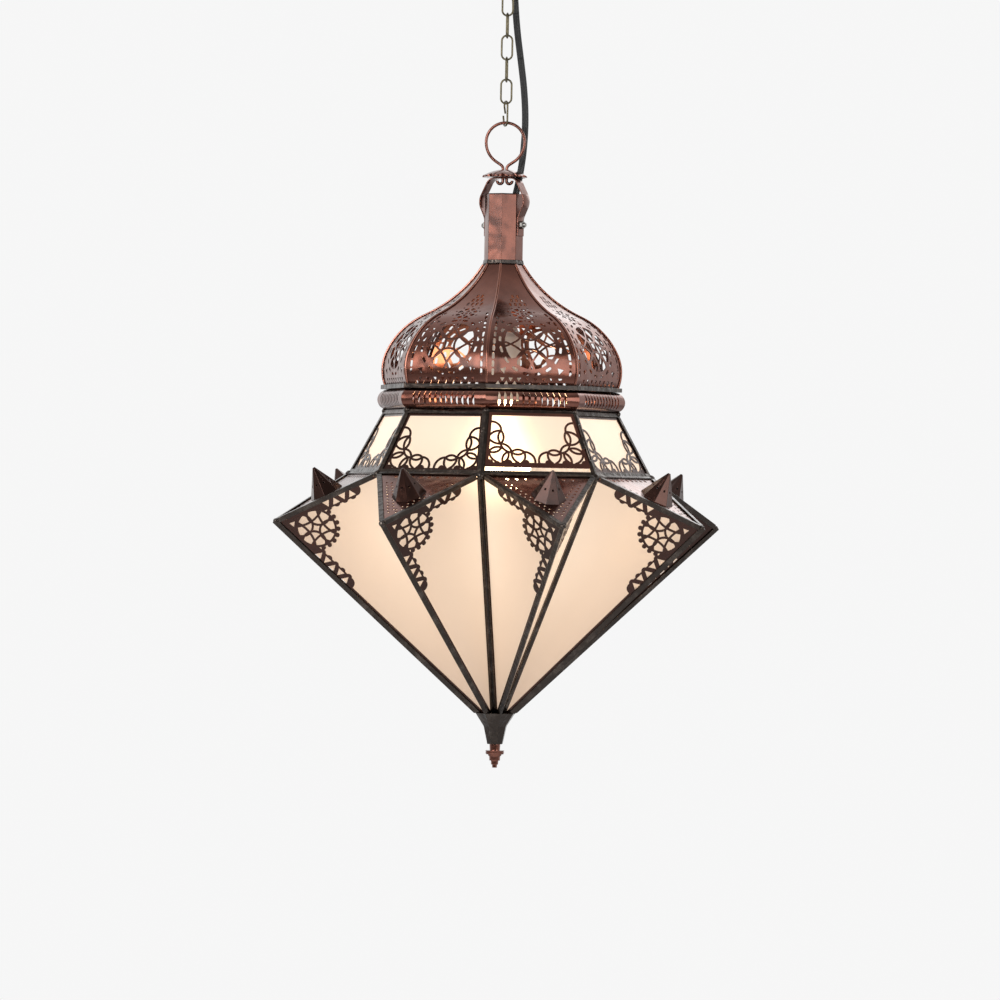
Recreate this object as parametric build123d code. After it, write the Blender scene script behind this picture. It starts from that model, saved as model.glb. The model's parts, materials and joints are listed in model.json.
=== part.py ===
from build123d import *
import math
import os

# Eight-sided star lantern on a chain. Millimetres and degrees, +Z up, origin at the ceiling face.
# One 45 degree sector is modelled facing +X and copied round the axis; sector 0 holds the door.

# Layout of the eight sides
SIDES = 8
SECTOR = 360 / SIDES
HALF = math.radians(SECTOR / 2)
FIRST_SECTOR = -67.5
FIRST_VERTEX = -90.0
DOOR_SECTOR = 0
BAIL_ANGLE = -22.5

# Clearances
SEAT_GAP = 0.05
SKIN_GAP = 0.2
RUN_GAP = 0.3
PIN_PLAY = 0.05
BORE_PLAY = 0.1

# Ceiling fitting
PLATE_LENGTH = 84.0
PLATE_WIDTH = 26.0
PLATE_THICK = 2.0
SCREW_HOLE = 4.5
SCREW_SPACING = 66.0
BOSS_DIA = 12.0
BOSS_DEPTH = 12.0
BOSS_ROOF = 3.0
CANOPY_DIA = 106.0
CANOPY_DEPTH = 44.0
CANOPY_WALL = 1.0
CANOPY_RIM = 7.0
CANOPY_FLAT_DIA = 48.0
CANOPY_SAG = 8.0
CANOPY_CEILING_GAP = 0.3
HOOK_WIRE = 3.6
HOOK_ARC = 7.5
HOOK_SWAN = 18.0
HOOK_TIP = 13.0
NUT_ACROSS = 9.0
NUT_HEIGHT = 4.0
GRIP_DIA = 9.0
GRIP_FLANGE_DIA = 13.0
GRIP_FLANGE = 3.0
GRIP_DEPTH = 6.0
BLOCK_SIZE = (22.0, 16.0, 12.0)
BLOCK_X = -22.0
BLOCK_HOLE = 3.2

# Chain
LINK_COUNT = 6
LINK_WIRE = 1.8
LINK_LENGTH = 24.8
LINK_WIDTH = 11.9
SEAT_DROP = 29.6
OPEN_TWIST = 24.0
OPEN_GAP_TOP = 3.5
OPEN_GAP_LOW = -5.0
OPEN_TIP_OUT = 3.2

# Hanging ring, cap and bail
RING_WIRE = 2.9
RING_WIDTH = 39.6
RING_TAPER = 11.0
RING_LEG_GAP = 0.6
RING_BEND = 22.0
RING_STRAIGHT = 0.3
RING_NECK_BEND = 5.0
CURL_BEND = 2.6
CURL_RISE = 0.4
CAP_DROP = 3.24
CAP_HEIGHT = 7.4
CAP_EDGE = 1.2
CAP_DIA = 43.0
CAP_PETALS = 10
CAP_PETAL_DIA = 11.0
STRAP_THICK = 1.2
STRAP_WIDTH = 12.0
STRAP_FLAT = 14.0
STRAP_BELLY = 25.4
STRAP_BELLY_DROP = 22.0
STRAP_ABOVE_BOLT = 6.6
STRAP_BELOW_BOLT = 10.5
STRAP_BENDS = (10.0, 14.0, 9.0)
BOLT_DIA = 4.0
BOLT_DROP = 29.5
BOLT_HEAD_DIA = 7.0
BOLT_HEAD = 2.2
BOLT_END = 2.0
BAIL_NUT_ACROSS = 7.0
BAIL_NUT = 3.0

# Neck
NECK_RADIUS = 18.5
NECK_WALL = 1.0
NECK_DROP = 15.83
NECK_HEIGHT = 66.6
COLLAR_HEIGHT = 3.6
COLLAR_LIP = 1.4

# Dome: flare at the neck, then vertex radius and depth below the neck where its arcs meet
SHEET = 0.8
DOME_LEAN = 31.0
DOME_CURVE = ((74.5, 49.5), (110.9, 86.3))
DOME_BASE_RADIUS = 109.9
DOME_HEIGHT = 119.7
SEAM_WIDTH = 2.6
SEAM_HEIGHT = 1.4

# Gore piercing, measured along the sheet from its lower edge
GORE_STRAND = 1.9
GORE_ROSE_AT = 42.5
GORE_ROSE = 24.5
GORE_RING = 29.2
GORE_RING_COUNT = 16
GORE_SLOT = (6.2, 2.6)
GORE_EDGE_INSET = 6.0
GORE_EDGE_FROM = 15.0
GORE_EDGE_TO = 84.0
GORE_EDGE_COUNT = 10
GORE_ZIGZAG = 8.0
GORE_ZIGZAG_AT = (4.6, 8.6)
GORE_ZIGZAG_HOLE = 2.5
GORE_CREST_AT = 85.5
GORE_CREST = 10.5
GORE_CREST_STRAND = 1.6
GORE_CREST_RING = 13.2
GORE_CREST_DOTS = 10
GORE_DROP_AT = (103.5, 110.0, 116.0)
GORE_DROP = (5.4, 2.6)
GORE_CORNER = (27.5, 17.0, 3.6)
GORE_SHOULDER = (22.5, 70.0, 2.8)

# Roll moulding, eave and ledge
BAND_THICK = 0.8
BAND_IN = 5.4
BAND_OUT = 5.7
BAND_LIP = 3.6
BAND_LIP_HEIGHT = 3.2
BAND_CORNER = 2.0
ROLL_RADIUS = 9.8
ROLL_CENTRE = 108.1
ROLL_WALL = 1.0
ROLL_SLOTS = 12
ROLL_SLOT_WIDTH = 2.5
ROLL_SLOT_HEIGHT = 14.0
ROLL_SLOT_END = 9.5
EAVE_RADIUS = 111.4
LEDGE_RADIUS = 143.8
LEDGE_DROP = 59.1

# Star
TIP_RADIUS = 219.0
TIP_DROP = 47.0
APEX_DROP = 242.5
COLLECTOR_TOP = 16.2
COLLECTOR_RADII = (19.6, 11.4, 7.6)
COLLECTOR_STEPS = (12.5, 29.4)
FINIAL_STUD_DIA = 5.0
FINIAL_STUD = 11.0
FINIAL_STEPS = ((5.2, 6.0), (9.0, 1.4), (9.0, 2.2), (6.6, 1.6), (5.4, 4.4), (3.6, 3.8), (2.4, 3.0))

# Sheets, glass and ribs on every flat face
GLASS = 1.5
RIB_THICK = 1.2
RIB_WIDTH = 3.4
EDGE_GAP = 0.5
UPPER_SHOW = 2.2
UPPER_FOOT = 4.8
UPPER_LAP = 2.0
STAR_SHOW = 0.4
STAR_LAP = 0.6
CAME_TRIM = 3.0
STRAND = 2.1

# Corner tracery of the upper panels: across from the side edge, up from the bottom edge, and bulge
UPPER_ARCS = (
    ((0.0, 44.0), (11.9, 35.1), 4.0),
    ((11.9, 35.1), (12.5, 21.5), 2.6),
    ((11.9, 35.1), (12.5, 21.5), -2.6),
    ((11.9, 35.1), (0.6, 29.0), -1.8),
    ((12.5, 21.5), (0.6, 27.0), 1.8),
    ((12.5, 21.5), (23.7, 12.8), 2.6),
    ((12.5, 21.5), (23.7, 12.8), -2.6),
    ((13.6, 17.4), (2.0, 13.0), 2.4),
    ((13.6, 17.4), (2.0, 13.0), -2.4),
    ((20.4, 13.0), (16.0, 2.0), 2.4),
    ((20.4, 13.0), (16.0, 2.0), -2.4),
    ((23.7, 12.8), (35.6, 13.3), 2.6),
    ((23.7, 12.8), (35.6, 13.3), -2.6),
    ((23.7, 12.8), (31.0, 2.0), -2.0),
    ((35.6, 13.3), (34.4, 2.0), 2.0),
    ((35.6, 13.3), (47.4, 2.0), 3.6),
    ((2.0, 13.0), (11.9, 2.0), -2.4),
)
UPPER_BUMPS = (5.5, 24.0, 40.5)
UPPER_BUMP = 3.4

# Tip tracery of the star panels, measured in the panel from its tip
STAR_ROSE = 18.5
STAR_ROSE_FROM_EDGE = 24.0
STAR_ROSE_STRAND = 2.1
STAR_BEADS = 8
STAR_BEAD = 2.2
STAR_BEAD_SPREAD = 126.0
STAR_ARM = 11.8
STAR_ARM_STEP = 8.6
STAR_ARM_COUNTS = (4, 5)
STAR_ARM_START = 53.5
STAR_ARM_HOLE = 4.3
STAR_ARM_LOBE = 3.4
STAR_CORNER_HOLE = 3.4
STAR_CORNER_GAP = 4.2

# Pierced top plates
STUD_FROM_TIP = 57.0
STUD_RADIUS = 16.5
STUD_HEIGHT = 27.0
STUD_TIP = 1.2
STUD_WALL = 0.8
STUD_HOLE = 1.8
STUD_HOLE_AT = 0.42
PLATE_ROWS = (7.6, 12.4)
PLATE_ROW_STEP = 6.4
PLATE_ROW_HOLE = 1.9
PLATE_ROW_ENDS = (22.0, 16.0)
PLATE_BASE_ROW = 8.0
PLATE_BASE_STEP = 9.0
PLATE_BASE_COUNT = 8
PLATE_BASE_HOLE = 2.4

# Door and hinge
DOOR_GAP = 3.3
DOOR_GLASS_GAP = 0.9
LEAF_GAP = 0.6
BARREL_RADIUS = 1.5
BARREL_LENGTH = 12.0
BARREL_GAP = 0.4
BARREL_INSET = 0.6
HINGE_PIN_DIA = 1.6
PIN_OVERHANG = 1.0
KNUCKLE_THICK = 0.8

# Lampholder and bulb
BAR_WIDTH = 12.0
BAR_THICK = 2.0
BAR_UP = 2.0
NIPPLE_DIA = 10.0
NIPPLE_BORE = 6.6
NIPPLE_HEAD_DIA = 15.0
NIPPLE_HEAD = 4.0
HOLDER_DROP = 57.4
HOLDER_NECK_DIA = 26.0
HOLDER_DIA = 36.0
HOLDER_SHOULDER = 12.0
HOLDER_LENGTH = 72.0
HOLDER_ROOF = 10.0
SOCKET_PLAY = 1.4
SOCKET_DEPTH = 36.0
BULB_CAP_DIA = 26.6
BULB_CAP_LENGTH = 26.0
BULB_RADIUS = 30.0
BULB_NECK_STEP = 0.3
BULB_NECK_LENGTH = 6.0
BULB_CENTRE_DROP = 69.0
BULB_WALL = 0.8

# Twin flex: width over both cores, a round tube of like section, and the route chosen by hand,
# each point with its drop below the canopy or below the strap's top
CORD_DIA = 5.0
CORD_UPPER = (
    (4.0, 15.0, -4.0),
    (4.1, 15.0, 16.0),
    (5.6, 13.4, 40.0),
    (8.2, 11.6, 66.0),
    (12.2, 10.8, 93.0),
)
CORD_LOWER = (
    (16.0, 10.8, -84.0),
    (17.8, 10.4, -55.0),
    (16.8, 8.8, -27.0),
    (13.6, 6.6, -1.0),
    (8.6, 4.4, 23.0),
    (3.0, 1.6, 47.0),
    (0.0, 0.0, 73.0),
    (0.0, 0.0, 129.0),
)
CORD_CUTS_UPPER = (18.4, 61.4)
CORD_CUTS_LOWER = (-37.0, 37.0)

# Heights that follow from the sizes above
HOOK_SEAT = -(CANOPY_DEPTH + SEAT_DROP)
LINK_INNER = LINK_LENGTH - 2 * LINK_WIRE
LINK_PITCH = LINK_INNER - RUN_GAP
FIRST_LINK = HOOK_SEAT + RUN_GAP - LINK_INNER / 2
LAST_LINK = FIRST_LINK - (LINK_COUNT - 1) * LINK_PITCH
RING_TOP = LAST_LINK - LINK_INNER / 2 + RUN_GAP + RING_WIRE / 2
RING_HALF = (RING_WIDTH - RING_WIRE) / 2
RING_LEG = (RING_WIRE + RING_LEG_GAP) / 2
RING_TURN = math.atan2(RING_HALF - RING_LEG, RING_TAPER)
RING_SIDE = RING_HALF + RING_BEND * math.tan(RING_TURN / 2) + RING_STRAIGHT
RING_NECK = RING_TOP - RING_SIDE - RING_TAPER
CAP_TOP = RING_NECK - CAP_DROP
STRAP_TOP = CAP_TOP - CAP_HEIGHT
NECK_TOP = STRAP_TOP - NECK_DROP
BOLT_HEIGHT = NECK_TOP - BOLT_DROP
NECK_BOTTOM = NECK_TOP - NECK_HEIGHT
DOME_BASE = NECK_BOTTOM - DOME_HEIGHT
BAND_INNER = DOME_BASE_RADIUS - BAND_IN
BAND_OUTER = DOME_BASE_RADIUS + BAND_OUT
BAND_TOP = DOME_BASE - SEAT_GAP
BAND_BOTTOM = BAND_TOP - BAND_THICK
ROLL_TOP = BAND_BOTTOM - SEAT_GAP
ROLL_BOTTOM = ROLL_TOP - 2 * ROLL_RADIUS
EAVE = ROLL_BOTTOM - SEAT_GAP - RIB_THICK
LEDGE = EAVE - LEDGE_DROP
TIP = LEDGE - TIP_DROP
APEX = LEDGE - APEX_DROP
FOOT = APEX + COLLECTOR_TOP
SHEET_DEPTH = SKIN_GAP + SHEET
GLASS_DEPTH = SHEET_DEPTH + GLASS
HOLDER_TOP = NECK_BOTTOM - HOLDER_DROP
SOCKET_DIA = BULB_CAP_DIA + SOCKET_PLAY
BULB_NECK = BULB_CAP_DIA / 2 - BULB_NECK_STEP
LEAF_INSET = BARREL_INSET + BARREL_RADIUS + LEAF_GAP
LEAF_FOOT = RIB_WIDTH + DOOR_GAP
KNUCKLE_LEAF = RIB_WIDTH + UPPER_SHOW - BARREL_INSET
CORD_ROUTE = [(x, y, -CANOPY_DEPTH - drop) for x, y, drop in CORD_UPPER]
CORD_ROUTE += [(x, y, STRAP_TOP - drop) for x, y, drop in CORD_LOWER]
CORD_SPLITS = [HOOK_SEAT - drop for drop in CORD_CUTS_UPPER]
CORD_SPLITS += [STRAP_TOP - drop for drop in CORD_CUTS_LOWER]
REACH = 600.0


def corner(radius, height, side):
    """Point of the octagon beside the sector that faces +X."""
    return Vector(radius * math.cos(HALF), side * radius * math.sin(HALF), height)


def apothem(radius):
    """Distance from the axis to the middle of an octagon's side."""
    return radius * math.cos(HALF)


def to_sector(shape, index):
    """Turn a shape from the +X sector to its own sector."""
    return Rot(0, 0, FIRST_SECTOR + SECTOR * index) * shape


def to_vertex(shape, index):
    """Turn a shape from the vertex on +X to its own vertex."""
    return Rot(0, 0, FIRST_VERTEX + SECTOR * index) * shape


def turned(vector, degrees):
    """A vector turned about the axis."""
    return vector.rotate(Axis.Z, degrees)


def wedge():
    """The space between the two vertical planes that bound the +X sector."""
    far = REACH * math.tan(HALF)
    face = make_face(Polyline((0, 0), (REACH, -far), (REACH, far), close=True))
    return extrude(Pos(0, 0, -2 * REACH) * face, amount=3 * REACH)


def slab(low, high):
    """All the space between two heights."""
    return Pos(0, 0, (low + high) / 2) * Box(2 * REACH, 2 * REACH, high - low)


def tube(route, radius):
    """Round bar along straight runs and tangent arcs."""
    start = Plane(origin=route @ 0, z_dir=route % 0)
    return sweep(start * Circle(radius), path=route)


def octagon(radius):
    """Eight-sided outline with a vertex on +X."""
    return RegularPolygon(radius, SIDES)


def inset_outline(points, insets):
    """Corners of a flat outline after each side moves in by its own distance."""
    count = len(points)
    centre = sum((Vector(*p) for p in points), Vector(0, 0)) / count
    lines = []
    for i in range(count):
        a = Vector(*points[i])
        b = Vector(*points[(i + 1) % count])
        run = (b - a).normalized()
        inward = Vector(-run.Y, run.X)
        if inward.dot(centre - a) < 0:
            inward = inward * -1
        lines.append((a + inward * insets[i], run))
    corners = []
    for i in range(count):
        (p, u), (q, v) = lines[i - 1], lines[i]
        along = ((q - p).X * v.Y - (q - p).Y * v.X) / (u.X * v.Y - u.Y * v.X)
        corners.append(p + u * along)
    return corners


def outline_face(points):
    """Flat face through a closed list of points."""
    return make_face(Polyline(*[(p.X, p.Y) for p in points], close=True))


def within(face, frame):
    """What lies inside a frame, of a flat shape that runs over its edges."""
    return face - (Rectangle(2 * REACH, 2 * REACH) - frame)


def strand(start, end, bulge, width):
    """Curved strip of sheet between two points."""
    a = Vector(*start)
    b = Vector(*end)
    run = (b - a).normalized()
    middle = (a + b) / 2 + Vector(-run.Y, run.X) * bulge
    return SlotArc(ThreePointArc(a, middle, b), width)


def layer(plane, face, depth, thick):
    """Sheet that lies from depth to depth + thick below a face plane."""
    return extrude(plane.offset(-depth) * face, amount=-thick)


def angle_strip(start, end, side_a, side_b, width, thick):
    """Folded strip along an edge; each side is its run away from the edge and its outward normal."""
    run_a, out_a = side_a
    run_b, out_b = side_b
    ridge = (out_a + out_b) * (thick / (1 + out_a.dot(out_b)))
    section = (
        Vector(0, 0, 0),
        run_a * width,
        run_a * width + out_a * thick,
        ridge,
        run_b * width + out_b * thick,
        run_b * width,
    )
    face = Face(Wire.make_polygon([start + p for p in section], close=True))
    return extrude(face, amount=(end - start).length, dir=(end - start).normalized())


def side_of(start, end, inside, outward):
    """Run from an edge into a face, towards a point of it, and the face's outward normal."""
    edge = (end - start).normalized()
    run = outward.cross(edge).normalized()
    if run.dot(inside - start) < 0:
        run = run * -1
    return run, outward


def fold_inset(out_a, out_b, depth):
    """How far back from an edge a sheet ends, so that it clears the other face's sheet at a depth."""
    turn = math.radians(out_a.get_angle(out_b))
    return depth * math.tan(turn / 2) + EDGE_GAP


def rosette_holes(radius, strand_width, least):
    """Openings of an interlaced rosette: four wide loops and four flat arcs inside a ring."""
    strips = []
    for quarter in range(4):
        loop = Pos(0.83 * radius, 0) * (Circle(0.63 * radius + strand_width / 2)
                                        - Circle(0.63 * radius - strand_width / 2))
        arc = Pos(2.2 * radius, 0) * (Circle(1.74 * radius + strand_width / 2)
                                      - Circle(1.74 * radius - strand_width / 2))
        strips.append(Rot(0, 0, 90 * quarter) * loop)
        strips.append(Rot(0, 0, 90 * quarter + 45) * arc)
    opened = Circle(radius) - strips
    return [face for face in opened.faces() if face.area > least]


# Ceiling fitting

def ceiling_plate():
    plate = Pos(0, 0, -PLATE_THICK / 2) * Box(PLATE_LENGTH, PLATE_WIDTH, PLATE_THICK)
    boss = Pos(0, 0, -BOSS_DEPTH / 2) * Cylinder(BOSS_DIA / 2, BOSS_DEPTH)
    bore_depth = BOSS_DEPTH - BOSS_ROOF
    bore = Pos(0, 0, -BOSS_DEPTH + bore_depth / 2) * Cylinder(HOOK_WIRE / 2 + PIN_PLAY, bore_depth)
    holes = [Pos(side * SCREW_SPACING / 2, 0, 0) * Cylinder(SCREW_HOLE / 2, 4 * PLATE_THICK)
             for side in (-1, 1)]
    return (plate + boss) - bore - holes


def canopy_profile(inset):
    """Half outline of the canopy, moved in by its wall."""
    radius = CANOPY_DIA / 2 - inset
    flat = CANOPY_FLAT_DIA / 2 - inset / 2
    bottom = -CANOPY_DEPTH + inset
    shoulder = Vector(radius, -CANOPY_RIM)
    foot = Vector(flat, bottom)
    run = (foot - shoulder).normalized()
    middle = (shoulder + foot) / 2 + Vector(-run.Y, run.X) * CANOPY_SAG
    top = -CANOPY_CEILING_GAP
    edges = (
        Line((0, top), (radius, top))
        + Line((radius, top), shoulder)
        + ThreePointArc(shoulder, middle, foot)
        + Line(foot, (0, bottom))
        + Line((0, bottom), (0, top))
    )
    return revolve(Plane.XZ * make_face(edges), Axis.Z)


def ceiling_canopy():
    hook_hole = Pos(0, 0, -CANOPY_DEPTH) * Cylinder(HOOK_WIRE / 2 + RUN_GAP, 4 * CANOPY_WALL)
    grip_x, grip_y, _ = CORD_ROUTE[0]
    grip_hole = Pos(grip_x, grip_y, -CANOPY_DEPTH) * Cylinder(GRIP_DIA / 2 + BORE_PLAY, 4 * CANOPY_WALL)
    return canopy_profile(0) - canopy_profile(CANOPY_WALL) - hook_hole - grip_hole


def ceiling_hook():
    low = HOOK_SEAT - HOOK_WIRE / 2
    swan = low + HOOK_SWAN
    points = (
        (0, -BOSS_ROOF - SEAT_GAP),
        (0, swan + HOOK_ARC),
        (-HOOK_ARC, swan),
        (-HOOK_ARC, low),
        (HOOK_ARC, low),
        (HOOK_ARC, low + HOOK_TIP),
    )
    bend = 0.99 * HOOK_ARC
    swan_bend = 0.8 * HOOK_ARC
    route = Plane.YZ * FilletPolyline(*points, radius=[swan_bend, swan_bend, bend, bend])
    return tube(route, HOOK_WIRE / 2)


def hex_nut(across, height, bore):
    """Hexagonal nut on the Z axis, standing on the XY plane."""
    body = extrude(RegularPolygon(across / 2, 6, major_radius=False), amount=height)
    return body - Pos(0, 0, height / 2) * Cylinder(bore, 2 * height)


def hook_nut():
    low = -CANOPY_DEPTH - SEAT_GAP - NUT_HEIGHT
    return Pos(0, 0, low) * hex_nut(NUT_ACROSS, NUT_HEIGHT, HOOK_WIRE / 2 + PIN_PLAY)


def canopy_cord_grip():
    grip_x, grip_y, _ = CORD_ROUTE[0]
    body = Pos(0, 0, -CANOPY_DEPTH + GRIP_DEPTH / 2) * Cylinder(GRIP_DIA / 2, GRIP_DEPTH)
    flange_z = -CANOPY_DEPTH - SEAT_GAP
    flange = Pos(0, 0, flange_z - GRIP_FLANGE) * Cone(
        GRIP_FLANGE_DIA / 2 - GRIP_FLANGE / 2, GRIP_FLANGE_DIA / 2, GRIP_FLANGE,
        align=(Align.CENTER, Align.CENTER, Align.MIN))
    link = Pos(0, 0, flange_z) * Cylinder(GRIP_DIA / 2, 1.0)
    bore = Pos(0, 0, -CANOPY_DEPTH) * Cylinder(CORD_DIA / 2 + BORE_PLAY, 4 * GRIP_DEPTH)
    return Pos(grip_x, grip_y, 0) * ((body + flange + link) - bore)


def terminal_block():
    width, depth, height = BLOCK_SIZE
    block = Pos(BLOCK_X, 0, -PLATE_THICK - SEAT_GAP - height / 2) * Box(width, depth, height)
    holes = [Pos(BLOCK_X + side * width / 4, 0, -PLATE_THICK - height / 2)
             * Rot(90, 0, 0) * Cylinder(BLOCK_HOLE / 2, 2 * depth) for side in (-1, 1)]
    return block - holes


# Chain and hanging ring

def closed_link():
    """Oval link in the XZ plane, centred on the origin."""
    bend = (LINK_WIDTH - LINK_WIRE) / 2
    straight = (LINK_LENGTH - LINK_WIRE) / 2 - bend
    half = (
        Line((-bend, 0), (-bend, straight))
        + ThreePointArc((-bend, straight), (0, straight + bend), (bend, straight))
        + Line((bend, straight), (bend, 0))
    )
    upper = tube(Plane.XZ * Wire(half.edges()), LINK_WIRE / 2)
    return upper + Rot(180, 0, 0) * upper


def open_link():
    """Last link, in the XZ plane, with one side cut through and its lower end bent out."""
    bend = (LINK_WIDTH - LINK_WIRE) / 2
    end = (LINK_LENGTH - LINK_WIRE) / 2
    points = (
        (bend - OPEN_TIP_OUT, OPEN_GAP_TOP - OPEN_TIP_OUT),
        (bend, OPEN_GAP_TOP + OPEN_TIP_OUT),
        (bend, end),
        (-bend, end),
        (-bend, -end),
        (bend, -end),
        (bend + OPEN_TIP_OUT, OPEN_GAP_LOW + OPEN_TIP_OUT),
    )
    curve = 0.98 * bend
    route = Plane.XZ * FilletPolyline(*points, radius=[0.3 * bend, 0.6 * bend, curve, curve, 0.7 * bend])
    return tube(route, LINK_WIRE / 2)


def chain_link(index):
    """Link number index, counted from the hook; every other one is turned a quarter."""
    height = FIRST_LINK - index * LINK_PITCH
    if index == LINK_COUNT - 1:
        return Pos(0, 0, height) * Rot(0, 0, 90 + OPEN_TWIST) * open_link()
    return Pos(0, 0, height) * Rot(0, 0, 90 * (index % 2)) * closed_link()


def hanging_ring():
    side = RING_HALF
    leg = RING_LEG
    shoulder = RING_TOP - RING_SIDE
    curl_low = STRAP_TOP - STRAP_THICK - RUN_GAP - CURL_BEND - CURL_RISE - RING_WIRE / 2
    curl_out = leg + 2.05 * CURL_BEND
    half = (
        (curl_out, curl_low + CURL_BEND + CURL_RISE),
        (curl_out, curl_low),
        (leg, curl_low),
        (leg, RING_NECK),
        (side, shoulder),
        (side, RING_TOP),
    )
    points = list(half) + [(-x, z) for x, z in reversed(half)]
    bends = [CURL_BEND, CURL_BEND, RING_NECK_BEND, RING_BEND, 0.99 * side]
    route = Plane.XZ * FilletPolyline(*points, radius=bends + bends[::-1])
    return tube(route, RING_WIRE / 2)


def leg_hole():
    """Round hole that lets the two legs of the ring turn."""
    return RING_LEG + RING_WIRE / 2 + RUN_GAP


def cord_at(height):
    """Where the cord's route crosses a height."""
    for (x0, y0, z0), (x1, y1, z1) in zip(CORD_ROUTE, CORD_ROUTE[1:]):
        if z1 <= height <= z0:
            share = (z0 - height) / (z0 - z1)
            return x0 + (x1 - x0) * share, y0 + (y1 - y0) * share
    raise ValueError("height off the cord's route")


def cap_rosette():
    radius = CAP_DIA / 2
    hub = leg_hole() + CAP_EDGE
    edges = (
        Line((0, STRAP_TOP), (radius, STRAP_TOP))
        + Line((radius, STRAP_TOP), (radius, STRAP_TOP + CAP_EDGE))
        + ThreePointArc((radius, STRAP_TOP + CAP_EDGE), (0.62 * radius, CAP_TOP - 0.3 * CAP_HEIGHT),
                        (hub, CAP_TOP))
        + Line((hub, CAP_TOP), (0, CAP_TOP))
        + Line((0, CAP_TOP), (0, STRAP_TOP))
    )
    cap = revolve(Plane.XZ * make_face(edges), Axis.Z)
    petal_at = radius - CAP_PETAL_DIA / 2
    outline = Circle(petal_at + CAP_EDGE)
    for petal in range(CAP_PETALS):
        outline += Rot(0, 0, 360 / CAP_PETALS * petal) * Pos(petal_at, 0) * Circle(CAP_PETAL_DIA / 2)
    cap = cap & extrude(Pos(0, 0, STRAP_TOP - CAP_HEIGHT) * outline, amount=3 * CAP_HEIGHT)
    hole = Pos(0, 0, CAP_TOP) * Cylinder(leg_hole(), 4 * CAP_HEIGHT)
    cord_x, cord_y = cord_at((CAP_TOP + STRAP_TOP) / 2)
    cord_hole = Pos(cord_x, cord_y, CAP_TOP) * Cylinder(0.85 * CORD_DIA, 4 * CAP_HEIGHT)
    return cap - hole - cord_hole


def neck_side():
    """Outside of the neck's flat, where the strap is bolted."""
    return apothem(NECK_RADIUS)


def bail_strap():
    middle = STRAP_THICK / 2
    top = STRAP_TOP - SEAT_GAP - middle
    leg = neck_side() + SKIN_GAP + middle
    half = (
        (leg, BOLT_HEIGHT - STRAP_BELOW_BOLT),
        (leg, BOLT_HEIGHT + STRAP_ABOVE_BOLT),
        (STRAP_BELLY, top - STRAP_BELLY_DROP),
        (STRAP_FLAT, top),
    )
    points = list(half) + [(-r, z) for r, z in reversed(half)]
    bends = list(STRAP_BENDS)
    line = FilletPolyline(*points, radius=bends + bends[::-1])
    strap = extrude(Plane.XZ * trace(line, STRAP_THICK), amount=STRAP_WIDTH / 2, both=True)
    ring_hole = Pos(0, 0, top) * Cylinder(leg_hole(), 4 * STRAP_THICK)
    bolt_holes = Pos(0, 0, BOLT_HEIGHT) * Rot(0, 90, 0) * Cylinder(BOLT_DIA / 2 + BORE_PLAY, 4 * leg)
    return Rot(0, 0, BAIL_ANGLE) * (strap - ring_hole - bolt_holes)


def bail_fastenings():
    """Two bolts with their heads inside the neck, and their nuts outside the strap."""
    inner = neck_side() - NECK_WALL - SEAT_GAP
    strap_out = neck_side() + SKIN_GAP + STRAP_THICK + SEAT_GAP
    length = strap_out + BAIL_NUT + BOLT_END - inner
    shank = Pos(0, 0, inner + length / 2) * Cylinder(BOLT_DIA / 2, length)
    head = Pos(0, 0, inner - BOLT_HEAD / 2) * Cylinder(BOLT_HEAD_DIA / 2, BOLT_HEAD)
    nut = Pos(0, 0, strap_out) * hex_nut(BAIL_NUT_ACROSS, BAIL_NUT, BOLT_DIA / 2 + PIN_PLAY)
    bolts = []
    nuts = []
    for half_turn in (0, 180):
        place = Pos(0, 0, BOLT_HEIGHT) * Rot(0, 0, BAIL_ANGLE + half_turn) * Rot(0, 90, 0)
        bolts.append(place * (shank + head))
        nuts.append(place * nut)
    return Compound(bolts), Compound(nuts)


# Neck and dome

def neck_tube():
    # The wall is measured across the flats
    inner = (neck_side() - NECK_WALL) / math.cos(HALF)
    tube_body = extrude(Pos(0, 0, NECK_BOTTOM) * (octagon(NECK_RADIUS) - octagon(inner)), amount=NECK_HEIGHT)
    holes = Pos(0, 0, BOLT_HEIGHT) * Rot(0, 0, BAIL_ANGLE) * Rot(0, 90, 0) * Cylinder(
        BOLT_DIA / 2 + BORE_PLAY, 4 * NECK_RADIUS)
    return tube_body - holes


def neck_collar():
    bottom = Pos(0, 0, NECK_BOTTOM + SEAT_GAP) * octagon(NECK_RADIUS + COLLAR_LIP)
    top = Pos(0, 0, NECK_BOTTOM + SEAT_GAP + COLLAR_HEIGHT) * octagon(NECK_RADIUS + COLLAR_LIP / 2)
    body = loft([bottom, top], ruled=True)
    bore = extrude(Pos(0, 0, NECK_BOTTOM) * octagon(NECK_RADIUS + SEAT_GAP), amount=3 * COLLAR_HEIGHT)
    return body - bore


def dome_line(outward):
    """Middle of a gore in the XZ plane: three tangent arcs, moved square to the sheet."""
    scale = math.cos(HALF)
    points = [(NECK_RADIUS, 0.0), *DOME_CURVE, (DOME_BASE_RADIUS, DOME_HEIGHT)]
    places = [(radius * scale, NECK_BOTTOM - SEAT_GAP - depth) for radius, depth in points]
    lean = math.radians(DOME_LEAN)
    run = Vector(scale * math.sin(lean), -math.cos(lean))
    arcs = []
    for start, end in zip(places, places[1:]):
        arc = TangentArc(start, end, tangent=run)
        run = arc % 1
        moved = []
        for share in (0, 0.5, 1):
            along = arc % share
            moved.append(arc @ share + Vector(-along.Y, along.X) * outward)
        arcs.append(ThreePointArc(*moved))
    return Wire([arc.edge() for arc in arcs])


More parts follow.
